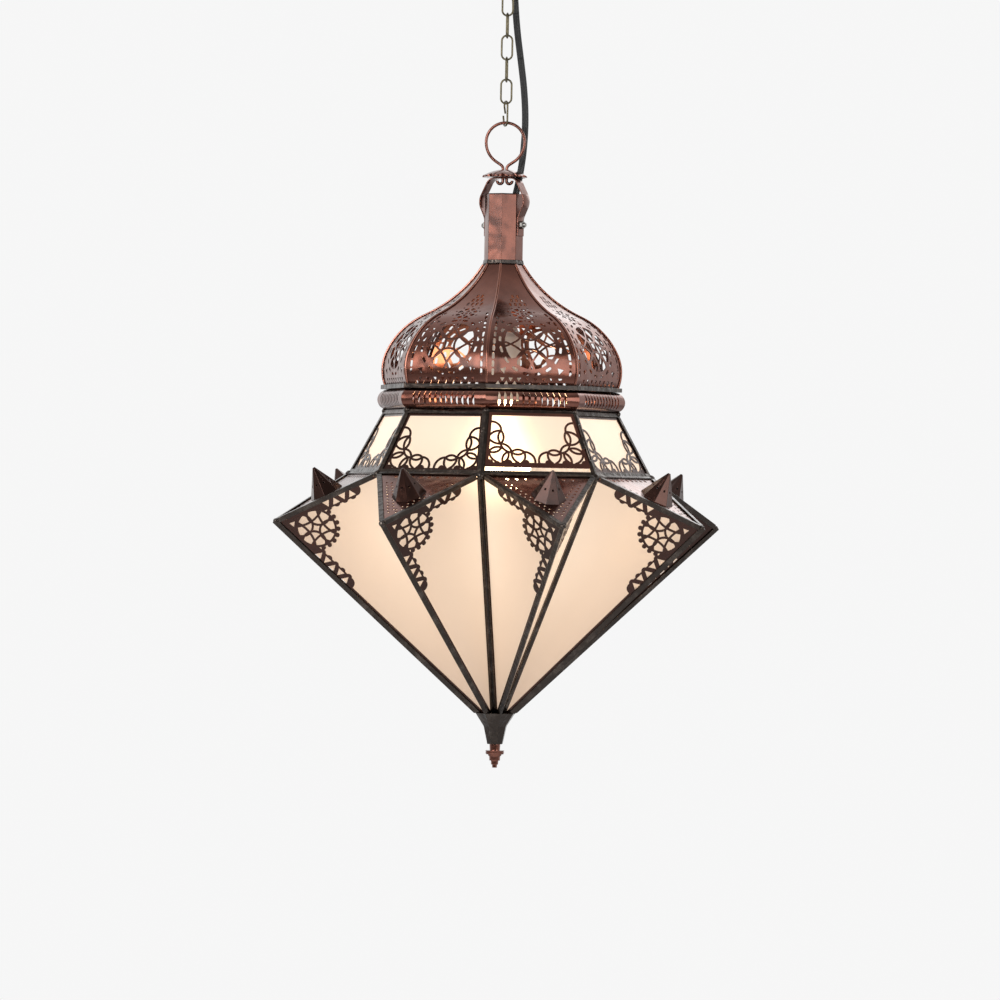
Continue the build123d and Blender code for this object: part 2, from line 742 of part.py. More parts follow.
def dome_band(near, far):
    """Flat band between two curves that follow a gore."""
    first = dome_line(near)
    second = dome_line(far)
    ends = [Line(first @ share, second @ share).edge() for share in (0, 1)]
    return Plane.XZ * make_face([*first.edges(), *second.edges(), *ends])


def gore_place(line, height):
    """Tangent plane on the outside of a gore, at a length along the sheet from its lower edge."""
    share = 1 - height / line.length
    place = line.position_at(share)
    run = line.tangent_at(share)
    outward = Vector(-run.Y, 0, run.X)
    return Plane(origin=(place.X, 0, place.Y), x_dir=(0, 1, 0), z_dir=outward)


def gore_holes():
    """Outlines of the piercing: each with its offset from the middle and its height on the sheet."""
    holes = []
    dot = RegularPolygon(GORE_ZIGZAG_HOLE, 3)
    for row, height in enumerate(GORE_ZIGZAG_AT):
        count = 9 - row
        for i in range(count):
            across = (i - (count - 1) / 2) * GORE_ZIGZAG
            holes.append((Rot(0, 0, 90 - 180 * row) * dot, across, height))
    for face in rosette_holes(GORE_ROSE, GORE_STRAND, 4.0):
        centre = face.center()
        holes.append((Pos(-centre.X, -centre.Y) * face, centre.X, GORE_ROSE_AT + centre.Y))
    slot = SlotOverall(*GORE_SLOT)
    for i in range(GORE_RING_COUNT):
        angle = 360 / GORE_RING_COUNT * (i + 0.5)
        across = GORE_RING * math.cos(math.radians(angle))
        height = GORE_ROSE_AT + GORE_RING * math.sin(math.radians(angle))
        holes.append((Rot(0, 0, angle + 90) * slot, across, height))
    for side in (-1, 1):
        across, height, radius = GORE_CORNER
        holes.append((Rot(0, 0, 90 + 45 * side) * RegularPolygon(radius, 3), side * across, height))
        across, height, radius = GORE_SHOULDER
        holes.append((Rot(0, 0, 90 - 45 * side) * RegularPolygon(radius, 3), side * across, height))
    for face in rosette_holes(GORE_CREST, GORE_CREST_STRAND, 1.6):
        centre = face.center()
        holes.append((Pos(-centre.X, -centre.Y) * face, centre.X, GORE_CREST_AT + centre.Y))
    for i in range(GORE_CREST_DOTS):
        angle = 360 / GORE_CREST_DOTS * (i + 0.5)
        across = GORE_CREST_RING * math.cos(math.radians(angle))
        height = GORE_CREST_AT + GORE_CREST_RING * math.sin(math.radians(angle))
        holes.append((Circle(1.0), across, height))
    drop = SlotOverall(*GORE_DROP)
    for i, height in enumerate(GORE_DROP_AT):
        reach = 3 - i
        for step in range(-reach, reach + 1, 2):
            holes.append((Rot(0, 0, 90) * drop, 2.4 * step, height))
    return holes


def gore_edge_holes(line):
    """Slots that follow both seams of a gore."""
    holes = []
    step = (GORE_EDGE_TO - GORE_EDGE_FROM) / (GORE_EDGE_COUNT - 1)
    slot = SlotOverall(*GORE_SLOT)
    for i in range(GORE_EDGE_COUNT):
        height = GORE_EDGE_FROM + i * step
        half = gore_place(line, height).origin.X * math.tan(HALF)
        above = gore_place(line, height + 1.0).origin.X * math.tan(HALF)
        lean = math.degrees(math.atan(above - half))
        for side in (-1, 1):
            holes.append((Rot(0, 0, 90 - side * lean) * slot, side * (half - GORE_EDGE_INSET), height))
    return holes


def dome_gore():
    line = dome_line(0)
    sheet = extrude(dome_band(0, -SHEET), amount=DOME_BASE_RADIUS, both=True) & wedge()
    sheet = sheet & slab(DOME_BASE, NECK_BOTTOM - SEAT_GAP)
    cutters = []
    for outline, across, height in gore_holes() + gore_edge_holes(line):
        place = gore_place(line, height)
        cutters.append(extrude(place.offset(SHEET) * Pos(across, 0) * outline, amount=-3 * SHEET))
    return sheet - cutters


def dome_seam():
    """Solder strip folded over the joint of two gores, at the vertex on +X."""
    skin = extrude(dome_band(SEAT_GAP, SEAM_HEIGHT), amount=DOME_BASE_RADIUS, both=True) & wedge()
    beside = Pos(REACH, 0, 0) * Box(2 * REACH, SEAM_WIDTH, 4 * REACH)
    half = (Rot(0, 0, -SECTOR / 2) * skin) & beside & slab(DOME_BASE, NECK_BOTTOM - SEAT_GAP)
    return half + mirrored(half)


def dome_base_band():
    """Flat ring under the gores with a solder lip outside them, notched for the seams."""
    turned = Rot(0, 0, SECTOR / 2)
    ring = turned * (octagon(BAND_OUTER) - octagon(BAND_INNER))
    lip = turned * (octagon(BAND_OUTER) - octagon(BAND_OUTER - BAND_LIP))
    flat = extrude(Pos(0, 0, BAND_BOTTOM) * ring, amount=BAND_THICK)
    upstand = extrude(Pos(0, 0, BAND_BOTTOM) * lip, amount=BAND_THICK + BAND_LIP_HEIGHT)
    depth = BAND_OUTER - BAND_CORNER
    notch = Box(depth, SEAM_WIDTH + 2 * SKIN_GAP, 2 * BAND_LIP_HEIGHT)
    notch = Pos(depth / 2, 0, BAND_TOP + BAND_LIP_HEIGHT) * notch
    notches = [Rot(0, 0, side * SECTOR / 2) * notch for side in (-1, 1)]
    return ((flat + upstand) - notches) & wedge()


def roll_moulding():
    centre = apothem(ROLL_CENTRE)
    height = ROLL_BOTTOM + ROLL_RADIUS
    section = Circle(ROLL_RADIUS) - Circle(ROLL_RADIUS - ROLL_WALL)
    section = section & Pos(ROLL_RADIUS, 0) * Rectangle(2 * ROLL_RADIUS, 4 * ROLL_RADIUS)
    bar = extrude(Plane.XZ * Pos(centre, height) * section, amount=ROLL_CENTRE, both=True) & wedge()
    half = centre * math.tan(HALF) - ROLL_SLOT_END
    step = 2 * half / (ROLL_SLOTS - 1)
    wide = ROLL_SLOT_WIDTH / 2
    tall = ROLL_SLOT_HEIGHT / 2
    right = [(wide, -tall / 2), (wide, tall / 2), (0, tall)]
    lens = make_face(Polyline(*right, *[(-x, -y) for x, y in right], close=True))
    face = Plane(origin=(centre, 0, height), x_dir=(0, 1, 0), z_dir=(1, 0, 0))
    slots = [extrude(face * Pos(-half + i * step, 0) * lens, amount=2 * ROLL_RADIUS)
             for i in range(ROLL_SLOTS)]
    return bar - slots


# Upper lantern

UPPER_OUT = Vector(LEDGE_DROP, 0, apothem(LEDGE_RADIUS - EAVE_RADIUS)).normalized()
UPPER_PLANE = Plane(origin=(apothem(LEDGE_RADIUS), 0, LEDGE), x_dir=(0, 1, 0), z_dir=UPPER_OUT)
UPPER_RISE = math.hypot(LEDGE_DROP, apothem(LEDGE_RADIUS - EAVE_RADIUS))
PLATE_OUT = Vector(TIP_DROP, 0, TIP_RADIUS - apothem(LEDGE_RADIUS)).normalized()
PLATE_PLANE = Plane(origin=(apothem(LEDGE_RADIUS), 0, LEDGE), x_dir=(0, 1, 0), z_dir=PLATE_OUT)
PLATE_RUN = math.hypot(TIP_DROP, TIP_RADIUS - apothem(LEDGE_RADIUS))


def upper_outline():
    """Corners of an upper panel, from its lower left, in its own plane."""
    low = LEDGE_RADIUS * math.sin(HALF)
    high = EAVE_RADIUS * math.sin(HALF)
    return [(-low, 0), (low, 0), (high, UPPER_RISE), (-high, UPPER_RISE)]


def upper_sheet(inset, foot):
    """Frame of an upper panel with tracery in its lower corners."""
    outline = upper_outline()
    frame = outline_face(inset_outline(outline, [foot, inset, inset, inset]))
    border = RIB_WIDTH + UPPER_SHOW
    window = outline_face(inset_outline(outline, [foot + UPPER_FOOT, border, border, border]))
    low = LEDGE_RADIUS * math.sin(HALF) - border + UPPER_LAP
    lean = (LEDGE_RADIUS - EAVE_RADIUS) * math.sin(HALF) / UPPER_RISE
    up = foot + UPPER_FOOT - UPPER_LAP
    strips = []
    for start, end, bulge in UPPER_ARCS:
        right = [(low - across - lean * (rise + up), rise + up) for across, rise in (start, end)]
        left = [(-x, y) for x, y in right]
        strips.append(strand(right[0], right[1], -bulge, STRAND))
        strips.append(strand(left[0], left[1], bulge, STRAND))
    for across in UPPER_BUMPS:
        for side in (-1, 1):
            strips.append(Pos(side * (low - across), up + UPPER_BUMP / 2) * Circle(UPPER_BUMP))
    return within((frame - window) + strips, frame)


def upper_inset(depth):
    """Inset of a sheet or pane in an upper panel, from its own depth."""
    sides = [turned(UPPER_OUT, side * SECTOR / 2) for side in (-1, 1)]
    return fold_inset(sides[0], sides[1], depth)


def upper_glass(inset, foot):
    return outline_face(inset_outline(upper_outline(), [foot, inset, inset, inset]))


def eave_rail():
    start = corner(EAVE_RADIUS, EAVE, -1)
    end = corner(EAVE_RADIUS, EAVE, 1)
    face_side = side_of(start, end, corner(LEDGE_RADIUS, LEDGE, 1), UPPER_OUT)
    top_side = side_of(start, end, Vector(0, 0, EAVE), Vector(0, 0, 1))
    return angle_strip(start, end, face_side, top_side, RIB_WIDTH, RIB_THICK) & wedge()


def ledge_rail():
    start = corner(LEDGE_RADIUS, LEDGE, -1)
    end = corner(LEDGE_RADIUS, LEDGE, 1)
    face_side = side_of(start, end, corner(EAVE_RADIUS, EAVE, 1), UPPER_OUT)
    plate_side = side_of(start, end, Vector(TIP_RADIUS, 0, TIP), PLATE_OUT)
    return angle_strip(start, end, face_side, plate_side, RIB_WIDTH, RIB_THICK) & wedge()


def upper_rib():
    """Folded rib over the corner between two upper panels, at the vertex on +X."""
    start = Vector(LEDGE_RADIUS, 0, LEDGE)
    end = Vector(EAVE_RADIUS, 0, EAVE)
    sides = []
    for side in (-1, 1):
        outward = turned(UPPER_OUT, side * SECTOR / 2)
        inside = turned(Vector(apothem(LEDGE_RADIUS), 0, LEDGE), side * SECTOR / 2)
        sides.append(side_of(start, end, inside, outward))
    rib = angle_strip(start, end, sides[0], sides[1], RIB_WIDTH, RIB_THICK)
    rails = [Rot(0, 0, side * SECTOR / 2) * rail
             for side in (-1, 1) for rail in (ledge_rail(), eave_rail())]
    return main_piece(rib - rails)


# Star

STAR_V = corner(LEDGE_RADIUS, LEDGE, 1)
STAR_T = Vector(TIP_RADIUS, 0, TIP)
STAR_B = Vector(0, 0, APEX)
STAR_OUT = (STAR_T - STAR_V).cross(STAR_B - STAR_V).normalized()
if STAR_OUT.Y < 0:
    STAR_OUT = STAR_OUT * -1
STAR_OUT_LEFT = Vector(STAR_OUT.X, -STAR_OUT.Y, STAR_OUT.Z)
# The panel's own plane: origin at the tip, X towards the ledge corner, seen from outside
STAR_PLANE = Plane(origin=STAR_T, x_dir=STAR_V - STAR_T, z_dir=STAR_OUT)


def star_outline():
    """Corners of a star panel in its own plane: apex, tip and ledge corner."""
    return [STAR_PLANE.to_local_coords(p) for p in (STAR_B, STAR_T, STAR_V)]


def star_inset(ridge, valley, rim):
    """Star panel outline moved in from its ridge, rim and valley."""
    outline = [(p.X, p.Y) for p in star_outline()]
    return outline_face(inset_outline(outline, [ridge, rim, valley]))


def star_insets(depth):
    """Insets from ridge, valley and rim of a star panel's sheet or pane that reaches down to a depth."""
    return [fold_inset(STAR_OUT, STAR_OUT_LEFT, depth), EDGE_GAP, fold_inset(STAR_OUT, PLATE_OUT, depth)]


def star_arm(run, inward, count):
    """Lace strip along an edge of a star panel, with lobes on its free side, and its openings."""
    last = STAR_ARM_START + (count - 1) * STAR_ARM_STEP
    end = last + STAR_ARM_STEP / 2
    ends = [run * 0, run * end, run * end + inward * STAR_ARM, inward * STAR_ARM]
    strip = [outline_face(ends)]
    middle = inward * (STAR_ARM / 2)
    strip.append(Pos(end * run.X + middle.X, end * run.Y + middle.Y) * Circle(STAR_ARM / 2))
    holes = []
    out = math.degrees(math.atan2(inward.Y, inward.X))
    first = RIB_WIDTH + STAR_SHOW
    for i in range(count):
        flip = i % 2
        depth = first + (1 + flip) * STAR_ARM_HOLE / 2
        place = run * (STAR_ARM_START + i * STAR_ARM_STEP) + inward * depth
        holes.append(Pos(place.X, place.Y) * Rot(0, 0, out + 180 * flip) * RegularPolygon(STAR_ARM_HOLE, 3))
        place = run * (STAR_ARM_START + i * STAR_ARM_STEP) + inward * (STAR_ARM - STAR_ARM_LOBE / 2)
        strip.append(Pos(place.X, place.Y) * Circle(STAR_ARM_LOBE))
    return strip, holes


def star_sheet():
    """Frame of a star panel with a rosette and two lace arms in its tip."""
    foot = star_outline()[0]
    side = 1 if foot.Y > 0 else -1
    frame = star_inset(*star_insets(SHEET_DEPTH))
    border = RIB_WIDTH + STAR_SHOW
    window = star_inset(*[max(border, inset + STAR_LAP) for inset in star_insets(GLASS_DEPTH)])
    opening = math.atan2(abs(foot.Y), foot.X)
    half = opening / 2
    reach = STAR_ROSE_FROM_EDGE / math.sin(half)
    rose = Vector(reach * math.cos(half), side * reach * math.sin(half))
    rim_run = Vector(1, 0)
    ridge_run = Vector(math.cos(opening), side * math.sin(opening))
    along = reach * math.cos(half)
    fill = [outline_face([Vector(0, 0), rim_run * along, rose, ridge_run * along])]
    fill.append(Pos(rose.X, rose.Y) * Circle(STAR_ROSE + STAR_ROSE_STRAND / 2))
    for i in range(STAR_BEADS):
        lean = STAR_BEAD_SPREAD * (i / (STAR_BEADS - 1) - 0.5)
        angle = side * half + math.radians(lean)
        out = Vector(math.cos(angle), math.sin(angle)) * (STAR_ROSE + STAR_BEAD)
        fill.append(Pos(rose.X + out.X, rose.Y + out.Y) * Circle(STAR_BEAD))
    holes = []
    lean = math.degrees(side * half)
    for face in rosette_holes(STAR_ROSE - STAR_ROSE_STRAND / 2, STAR_ROSE_STRAND, 3.0):
        holes.append(Pos(rose.X, rose.Y) * Rot(0, 0, lean) * face)
    arms = ((rim_run, Vector(0, side), STAR_ARM_COUNTS[0]),
            (ridge_run, Vector(math.sin(opening), -side * math.cos(opening)), STAR_ARM_COUNTS[1]))
    for run, inward, count in arms:
        strip, gaps = star_arm(run, inward, count)
        fill += strip
        holes += gaps
    corner_at = reach - STAR_ROSE - STAR_CORNER_GAP
    holes.append(Pos(corner_at * math.cos(half), side * corner_at * math.sin(half))
                 * Rot(0, 0, lean + 180) * RegularPolygon(STAR_CORNER_HOLE, 3))
    return within((frame - window) + fill - holes, frame)


def mirrored(shape):
    """The other half of a star point."""
    return mirror(shape, about=Plane.XZ)


def above_foot(shape):
    """A piece of the star cut level where the collector begins."""
    return shape & slab(FOOT, FOOT + REACH)


def main_piece(shape):
    """The largest of the pieces that a trim leaves."""
    return max(shape.solids(), key=lambda solid: solid.volume)


def ridge_rib():
    sides = [side_of(STAR_T, STAR_B, STAR_V, STAR_OUT),
             side_of(STAR_T, STAR_B, corner(LEDGE_RADIUS, LEDGE, -1), STAR_OUT_LEFT)]
    return above_foot(angle_strip(STAR_T, STAR_B, sides[0], sides[1], RIB_WIDTH, RIB_THICK))


def valley_rib():
    """Folded rib in the valley between two star points, at the vertex on +X."""
    start = Vector(LEDGE_RADIUS, 0, LEDGE)
    sides = []
    for side, outward in ((-1, STAR_OUT), (1, STAR_OUT_LEFT)):
        tip = turned(STAR_T, side * SECTOR / 2)
        sides.append(side_of(start, STAR_B, tip, turned(outward, side * SECTOR / 2)))
    rib = above_foot(angle_strip(start, STAR_B, sides[0], sides[1], RIB_WIDTH, RIB_THICK))
    neighbours = [Rot(0, 0, side * SECTOR / 2) * piece
                  for side in (-1, 1) for piece in (ledge_rail(), ridge_rib())]
    return main_piece(rib - neighbours)


def rim_came():
    """Folded strip between a top plate and the star panel under it, on the +Y side."""
    plate_side = side_of(STAR_V, STAR_T, Vector(apothem(LEDGE_RADIUS), 0, LEDGE), PLATE_OUT)
    panel_side = side_of(STAR_V, STAR_T, STAR_B, STAR_OUT)
    strip = angle_strip(STAR_V, STAR_T, plate_side, panel_side, RIB_WIDTH, RIB_THICK)
    inner = apothem(LEDGE_RADIUS) + RIB_WIDTH + RIB_THICK
    outer = TIP_RADIUS - CAME_TRIM
    span = Pos((inner + outer) / 2, REACH, 0) * Box(outer - inner, 2 * REACH, 4 * REACH)
    return main_piece((strip & span) - [ridge_rib(), Rot(0, 0, SECTOR / 2) * valley_rib()])


def star_plate():
    half = LEDGE_RADIUS * math.sin(HALF)
    outline = [(-half, 0), (half, 0), (0, -PLATE_RUN)]
    rim = fold_inset(STAR_OUT, PLATE_OUT, SHEET_DEPTH)
    face = outline_face(inset_outline(outline, [EDGE_GAP, rim, rim]))
    holes = []
    edge = math.hypot(half, PLATE_RUN)
    along = Vector(half, PLATE_RUN) / edge
    across = Vector(-PLATE_RUN, half) / edge
    for row, inset in enumerate(PLATE_ROWS):
        first, last = PLATE_ROW_ENDS
        count = int((edge - first - last) / PLATE_ROW_STEP)
        for i in range(count - row):
            place = along * (first + (i + row / 2) * PLATE_ROW_STEP) + across * inset
            angle = math.degrees(math.atan2(across.Y, across.X)) + 180 * row
            hole = Rot(0, 0, angle) * RegularPolygon(PLATE_ROW_HOLE, 3)
            for side in (-1, 1):
                shape = hole if side > 0 else mirror(hole, about=Plane.YZ)
                holes.append(Pos(side * place.X, place.Y - PLATE_RUN) * shape)
    for i in range(PLATE_BASE_COUNT):
        offset_x = (i - (PLATE_BASE_COUNT - 1) / 2) * PLATE_BASE_STEP
        holes.append(Pos(offset_x, -PLATE_BASE_ROW) * RegularPolygon(PLATE_BASE_HOLE, 4))
    return layer(PLATE_PLANE, face - holes, SKIN_GAP, SHEET)


def pyramid(radius, tip, height):
    """Eight-sided pyramid with flat faces, cut off just under its point."""
    lean = math.degrees(math.atan((radius - tip) * math.cos(HALF) / height))
    return extrude(RegularPolygon(radius, SIDES, rotation=SECTOR / 2), amount=height, taper=lean)


def cone_stud():
    """Hollow eight-sided pyramid that stands square on a top plate."""
    body = pyramid(STUD_RADIUS, STUD_TIP, STUD_HEIGHT)
    body -= pyramid(STUD_RADIUS - 2 * STUD_WALL, STUD_TIP / 2, STUD_HEIGHT - 3 * STUD_WALL)
    height = STUD_HOLE_AT * STUD_HEIGHT
    holes = []
    for i in range(SIDES):
        hole = Pos(STUD_RADIUS / 2, 0, height) * Rot(0, 90, 0) * Cylinder(STUD_HOLE / 2, STUD_RADIUS)
        holes.append(Rot(0, 0, SECTOR * i) * hole)
    place = PLATE_PLANE.offset(-SKIN_GAP + SEAT_GAP) * Pos(0, STUD_FROM_TIP - PLATE_RUN, 0)
    return place * (body - holes)


def collector_cone():
    heights = (FOOT - SEAT_GAP, FOOT - COLLECTOR_STEPS[0], FOOT - COLLECTOR_STEPS[1])
    sections = [Pos(0, 0, height) * RegularPolygon(radius, SIDES, rotation=SECTOR / 2)
                for radius, height in zip(COLLECTOR_RADII, heights)]
    body = loft(sections, ruled=True)
    bore = Pos(0, 0, heights[2]) * Cylinder(
        FINIAL_STUD_DIA / 2 + PIN_PLAY, 2 * (FINIAL_STUD + SEAT_GAP))
    return body - bore


def finial():
    top = FOOT - COLLECTOR_STEPS[1] - SEAT_GAP
    points = [(0, top + FINIAL_STUD), (FINIAL_STUD_DIA / 2, top + FINIAL_STUD), (FINIAL_STUD_DIA / 2, top)]
    height = top
    for radius, drop in FINIAL_STEPS:
        points.append((radius, height))
        height -= drop
        points.append((radius * 0.94, height))
    points.append((0, height))
    return revolve(Plane.XZ * make_face(Polyline(*points, close=True)), Axis.Z)


# Door

def hinge_plane():
    """Frame of the hinge in the door's sector: X into the door, Y down the edge, Z outwards."""
    top = corner(EAVE_RADIUS, EAVE, 1)
    run, outward = side_of(top, STAR_V, Vector(apothem(EAVE_RADIUS), 0, EAVE), UPPER_OUT)
    return Plane(origin=top, x_dir=run, z_dir=outward)


def hinge_middle():
    """Place of the hinge axis: in from the edge, half way down it, and out from the panel."""
    length = (corner(EAVE_RADIUS, EAVE, 1) - STAR_V).length
    return BARREL_INSET, length / 2, RIB_THICK + BARREL_RADIUS + BORE_PLAY


def barrel(offset):
    """One knuckle barrel along the hinge axis."""
    x, y, z = hinge_middle()
    solid = Cylinder(BARREL_RADIUS, BARREL_LENGTH) - Cylinder(HINGE_PIN_DIA / 2 + PIN_PLAY, 2 * BARREL_LENGTH)
    return Pos(x, y + offset, z) * Rot(90, 0, 0) * solid


def pin_hole():
    x, y, z = hinge_middle()
    return Pos(x, y, z) * Rot(90, 0, 0) * Cylinder(HINGE_PIN_DIA / 2 + PIN_PLAY, 9 * BARREL_LENGTH)


def hinge_knuckles():
    x, y, z = hinge_middle()
    step = BARREL_LENGTH + BARREL_GAP
    pads = []
    for offset in (-step, step):
        foot = RIB_THICK + SEAT_GAP
        pad = Pos(x, y + offset, (foot + z) / 2) * Box(BARREL_RADIUS, BARREL_LENGTH, z - foot)
        pads.append(hinge_plane() * ((barrel(offset) + pad) - pin_hole()))
    return Compound(pads)


def leaf_level():
    """Height of the door sheet's inner face above the panel plane, just over the ribs."""
    return RIB_THICK + SKIN_GAP


def door_knuckle():
    x, y, z = hinge_middle()
    foot = leaf_level() + SHEET + SEAT_GAP
    plate = Pos(x + KNUCKLE_LEAF / 2 + PIN_PLAY, y, foot + KNUCKLE_THICK / 2) * Box(
        KNUCKLE_LEAF, BARREL_LENGTH, KNUCKLE_THICK)
    return hinge_plane() * ((barrel(0) + plate) - pin_hole())


def hinge_pin():
    x, y, z = hinge_middle()
    length = 3 * BARREL_LENGTH + 2 * BARREL_GAP + 2 * PIN_OVERHANG
    return hinge_plane() * (Pos(x, y, z) * Rot(90, 0, 0) * Cylinder(HINGE_PIN_DIA / 2, length))


def door_leaf():
    return layer(UPPER_PLANE, upper_sheet(LEAF_INSET, LEAF_FOOT), -leaf_level() - SHEET, SHEET)


def door_pane():
    pane = upper_glass(RIB_WIDTH + DOOR_GLASS_GAP, LEAF_FOOT + DOOR_GLASS_GAP)
    return layer(UPPER_PLANE, pane, -leaf_level(), GLASS)


# Light source

def holder_bar():
    inner = neck_side() - NECK_WALL - SKIN_GAP
    bar = Box(2 * inner, BAR_WIDTH, BAR_THICK) - Cylinder(NIPPLE_DIA / 2 + BORE_PLAY, 4 * BAR_THICK)
    return Pos(0, 0, NECK_BOTTOM + BAR_UP + BAR_THICK / 2) * Rot(0, 0, BAIL_ANGLE + 90) * bar


def holder_nipple():
    seat = NECK_BOTTOM + BAR_UP + BAR_THICK + SEAT_GAP
    low = HOLDER_TOP - HOLDER_ROOF + 1.0
    body = Pos(0, 0, (seat + low) / 2) * Cylinder(NIPPLE_DIA / 2, seat - low)
    head = Pos(0, 0, seat) * extrude(RegularPolygon(NIPPLE_HEAD_DIA / 2, 6), amount=NIPPLE_HEAD)
    return (body + head) - Pos(0, 0, seat) * Cylinder(NIPPLE_BORE / 2, 4 * (seat - low))


def lampholder():
    bottom = HOLDER_TOP - HOLDER_LENGTH
    socket_top = bottom + SOCKET_DEPTH
    points = (
        (0, HOLDER_TOP),
        (HOLDER_NECK_DIA / 2, HOLDER_TOP),
        (HOLDER_DIA / 2, HOLDER_TOP - HOLDER_SHOULDER),
        (HOLDER_DIA / 2, bottom),
        (SOCKET_DIA / 2, bottom),
        (SOCKET_DIA / 2, socket_top),
        (0, socket_top),
    )
    body = revolve(Plane.XZ * make_face(Polyline(*points, close=True)), Axis.Z)
    entry = Pos(0, 0, HOLDER_TOP - HOLDER_ROOF / 2) * Cylinder(NIPPLE_DIA / 2 + BORE_PLAY, HOLDER_ROOF)
    return body - entry


def bulb_top():
    """Height where the bulb's glass leaves its cap."""
    return HOLDER_TOP - HOLDER_LENGTH + SOCKET_DEPTH - SEAT_GAP - BULB_CAP_LENGTH


def bulb_cap():
    solid = Pos(0, 0, bulb_top() + BULB_CAP_LENGTH / 2) * Cylinder(BULB_CAP_DIA / 2, BULB_CAP_LENGTH)
    return fillet(solid.edges().group_by(Axis.Z)[-1], BULB_CAP_DIA / 4)


def bulb_shell(inset):
    top = bulb_top() - SEAT_GAP - inset
    centre = bulb_top() - BULB_CENTRE_DROP
    radius = BULB_RADIUS - inset
    neck = BULB_NECK - inset
    low = HOLDER_TOP - HOLDER_LENGTH - BULB_NECK_LENGTH
    lift = math.radians(35)
    side = (radius * math.cos(lift), centre + radius * math.sin(lift))
    edges = (
        Line((0, top), (neck, top))
        + Line((neck, top), (neck, low))
        + Spline((neck, low), side, tangents=[(0, -1), (math.sin(lift), -math.cos(lift))])
        + ThreePointArc(side, (radius * math.cos(lift / -2), centre + radius * math.sin(lift / -2)),
                        (0, centre - radius))
        + Line((0, centre - radius), (0, top))
    )
    return revolve(Plane.XZ * make_face(edges), Axis.Z)


def bulb_glass():
    return bulb_shell(0) - bulb_shell(BULB_WALL)


# Twin flex

def cord_line():
    """Straight runs with the largest tangent arcs that they allow."""
    points = [Vector(*p) for p in CORD_ROUTE]
    bends = []
    for before, here, after in zip(points, points[1:], points[2:]):
        turn = (here - before).get_angle(after - here)
        shorter = min((here - before).length, (after - here).length)
        bends.append(0.45 * shorter / math.tan(math.radians(turn / 2)))
    print("cord bend radii:", [round(bend) for bend in bends])
    return FilletPolyline(*points, radius=bends)


def cord_pieces():
    """The cord cut level into one piece for each joint that it crosses, and the piece inside."""
    line = cord_line()
    whole = tube(line, CORD_DIA / 2)
    section = math.pi * CORD_DIA ** 2 / 4
    print("cord length", round(line.length, 1), "volume share", round(whole.volume / line.length / section, 4))
    levels = [0.0, *CORD_SPLITS, -2 * REACH]
    return [whole & slab(low, high) for high, low in zip(levels, levels[1:])]


def all_sectors(shape, skip=()):
    """One copy of a shape in every sector, or in all but some."""
    return Compound([to_sector(shape, i) for i in range(SIDES) if i not in skip])


def all_vertices(shape):
    return Compound([to_vertex(shape, i) for i in range(SIDES)])


def both_halves(shape):
    """A shape and its mirror image in every sector."""
    other = mirrored(shape)
    return Compound([to_sector(half, i) for i in range(SIDES) for half in (shape, other)])


def build():
    nodes = {
        "ceiling_plate": ceiling_plate(),
        "ceiling_canopy": ceiling_canopy(),
        "ceiling_hook": ceiling_hook(),
        "hook_nut": hook_nut(),
        "canopy_cord_grip": canopy_cord_grip(),
        "terminal_block": terminal_block(),
    }
    for i in range(LINK_COUNT):
        nodes[f"chain_link_{i + 1}"] = chain_link(i)
    bolts, nuts = bail_fastenings()
    nodes.update({
        "hanging_ring": hanging_ring(),
        "cap_rosette": cap_rosette(),
        "bail_strap": bail_strap(),
        "bail_bolts": bolts,
        "bail_nuts": nuts,
        "neck_tube": neck_tube(),
        "neck_collar": neck_collar(),
    })
    gore = dome_gore()
    for i in range(SIDES):
        nodes[f"dome_gore_{i + 1}"] = to_sector(gore, i)
    door = (DOOR_SECTOR,)
    sheet_inset = upper_inset(SHEET_DEPTH)
    pane_inset = upper_inset(GLASS_DEPTH)
    nodes.update({
        "dome_seams": all_vertices(dome_seam()),
        "dome_base_band": all_sectors(dome_base_band()),
        "roll_moulding": all_sectors(roll_moulding()),
        "eave_rail": all_sectors(eave_rail()),
        "ledge_rail": all_sectors(ledge_rail()),
        "upper_ribs": all_vertices(upper_rib()),
        "upper_panes": all_sectors(
            layer(UPPER_PLANE, upper_glass(pane_inset, pane_inset), SHEET_DEPTH, GLASS), door),
        "upper_tracery": all_sectors(
            layer(UPPER_PLANE, upper_sheet(sheet_inset, sheet_inset), SKIN_GAP, SHEET), door),
        "star_plates": all_sectors(star_plate()),
        "cone_studs": all_sectors(cone_stud()),
        "star_panes": both_halves(
            above_foot(layer(STAR_PLANE, star_inset(*star_insets(GLASS_DEPTH)), SHEET_DEPTH, GLASS))),
        "star_tracery": both_halves(above_foot(layer(STAR_PLANE, star_sheet(), SKIN_GAP, SHEET))),
        "ridge_ribs": all_sectors(ridge_rib()),
        "valley_ribs": all_vertices(valley_rib()),
        "rim_cames": both_halves(rim_came()),
        "collector_cone": collector_cone(),
        "finial": finial(),
        "hinge_knuckles": to_sector(hinge_knuckles(), DOOR_SECTOR),
        "hinge_pin": to_sector(hinge_pin(), DOOR_SECTOR),
        "door_leaf": to_sector(door_leaf(), DOOR_SECTOR),
        "door_pane": to_sector(door_pane(), DOOR_SECTOR),
        "door_knuckle": to_sector(door_knuckle(), DOOR_SECTOR),
        "holder_bar": holder_bar(),
        "holder_nipple": holder_nipple(),
        "lampholder": lampholder(),
        "bulb_cap": bulb_cap(),
        "bulb_glass": bulb_glass(),
    })
    names = [f"supply_cord_{i + 1}" for i in range(len(CORD_SPLITS))] + ["inner_cord"]
    for name, piece in zip(names, cord_pieces()):
        nodes[name] = piece
    return nodes


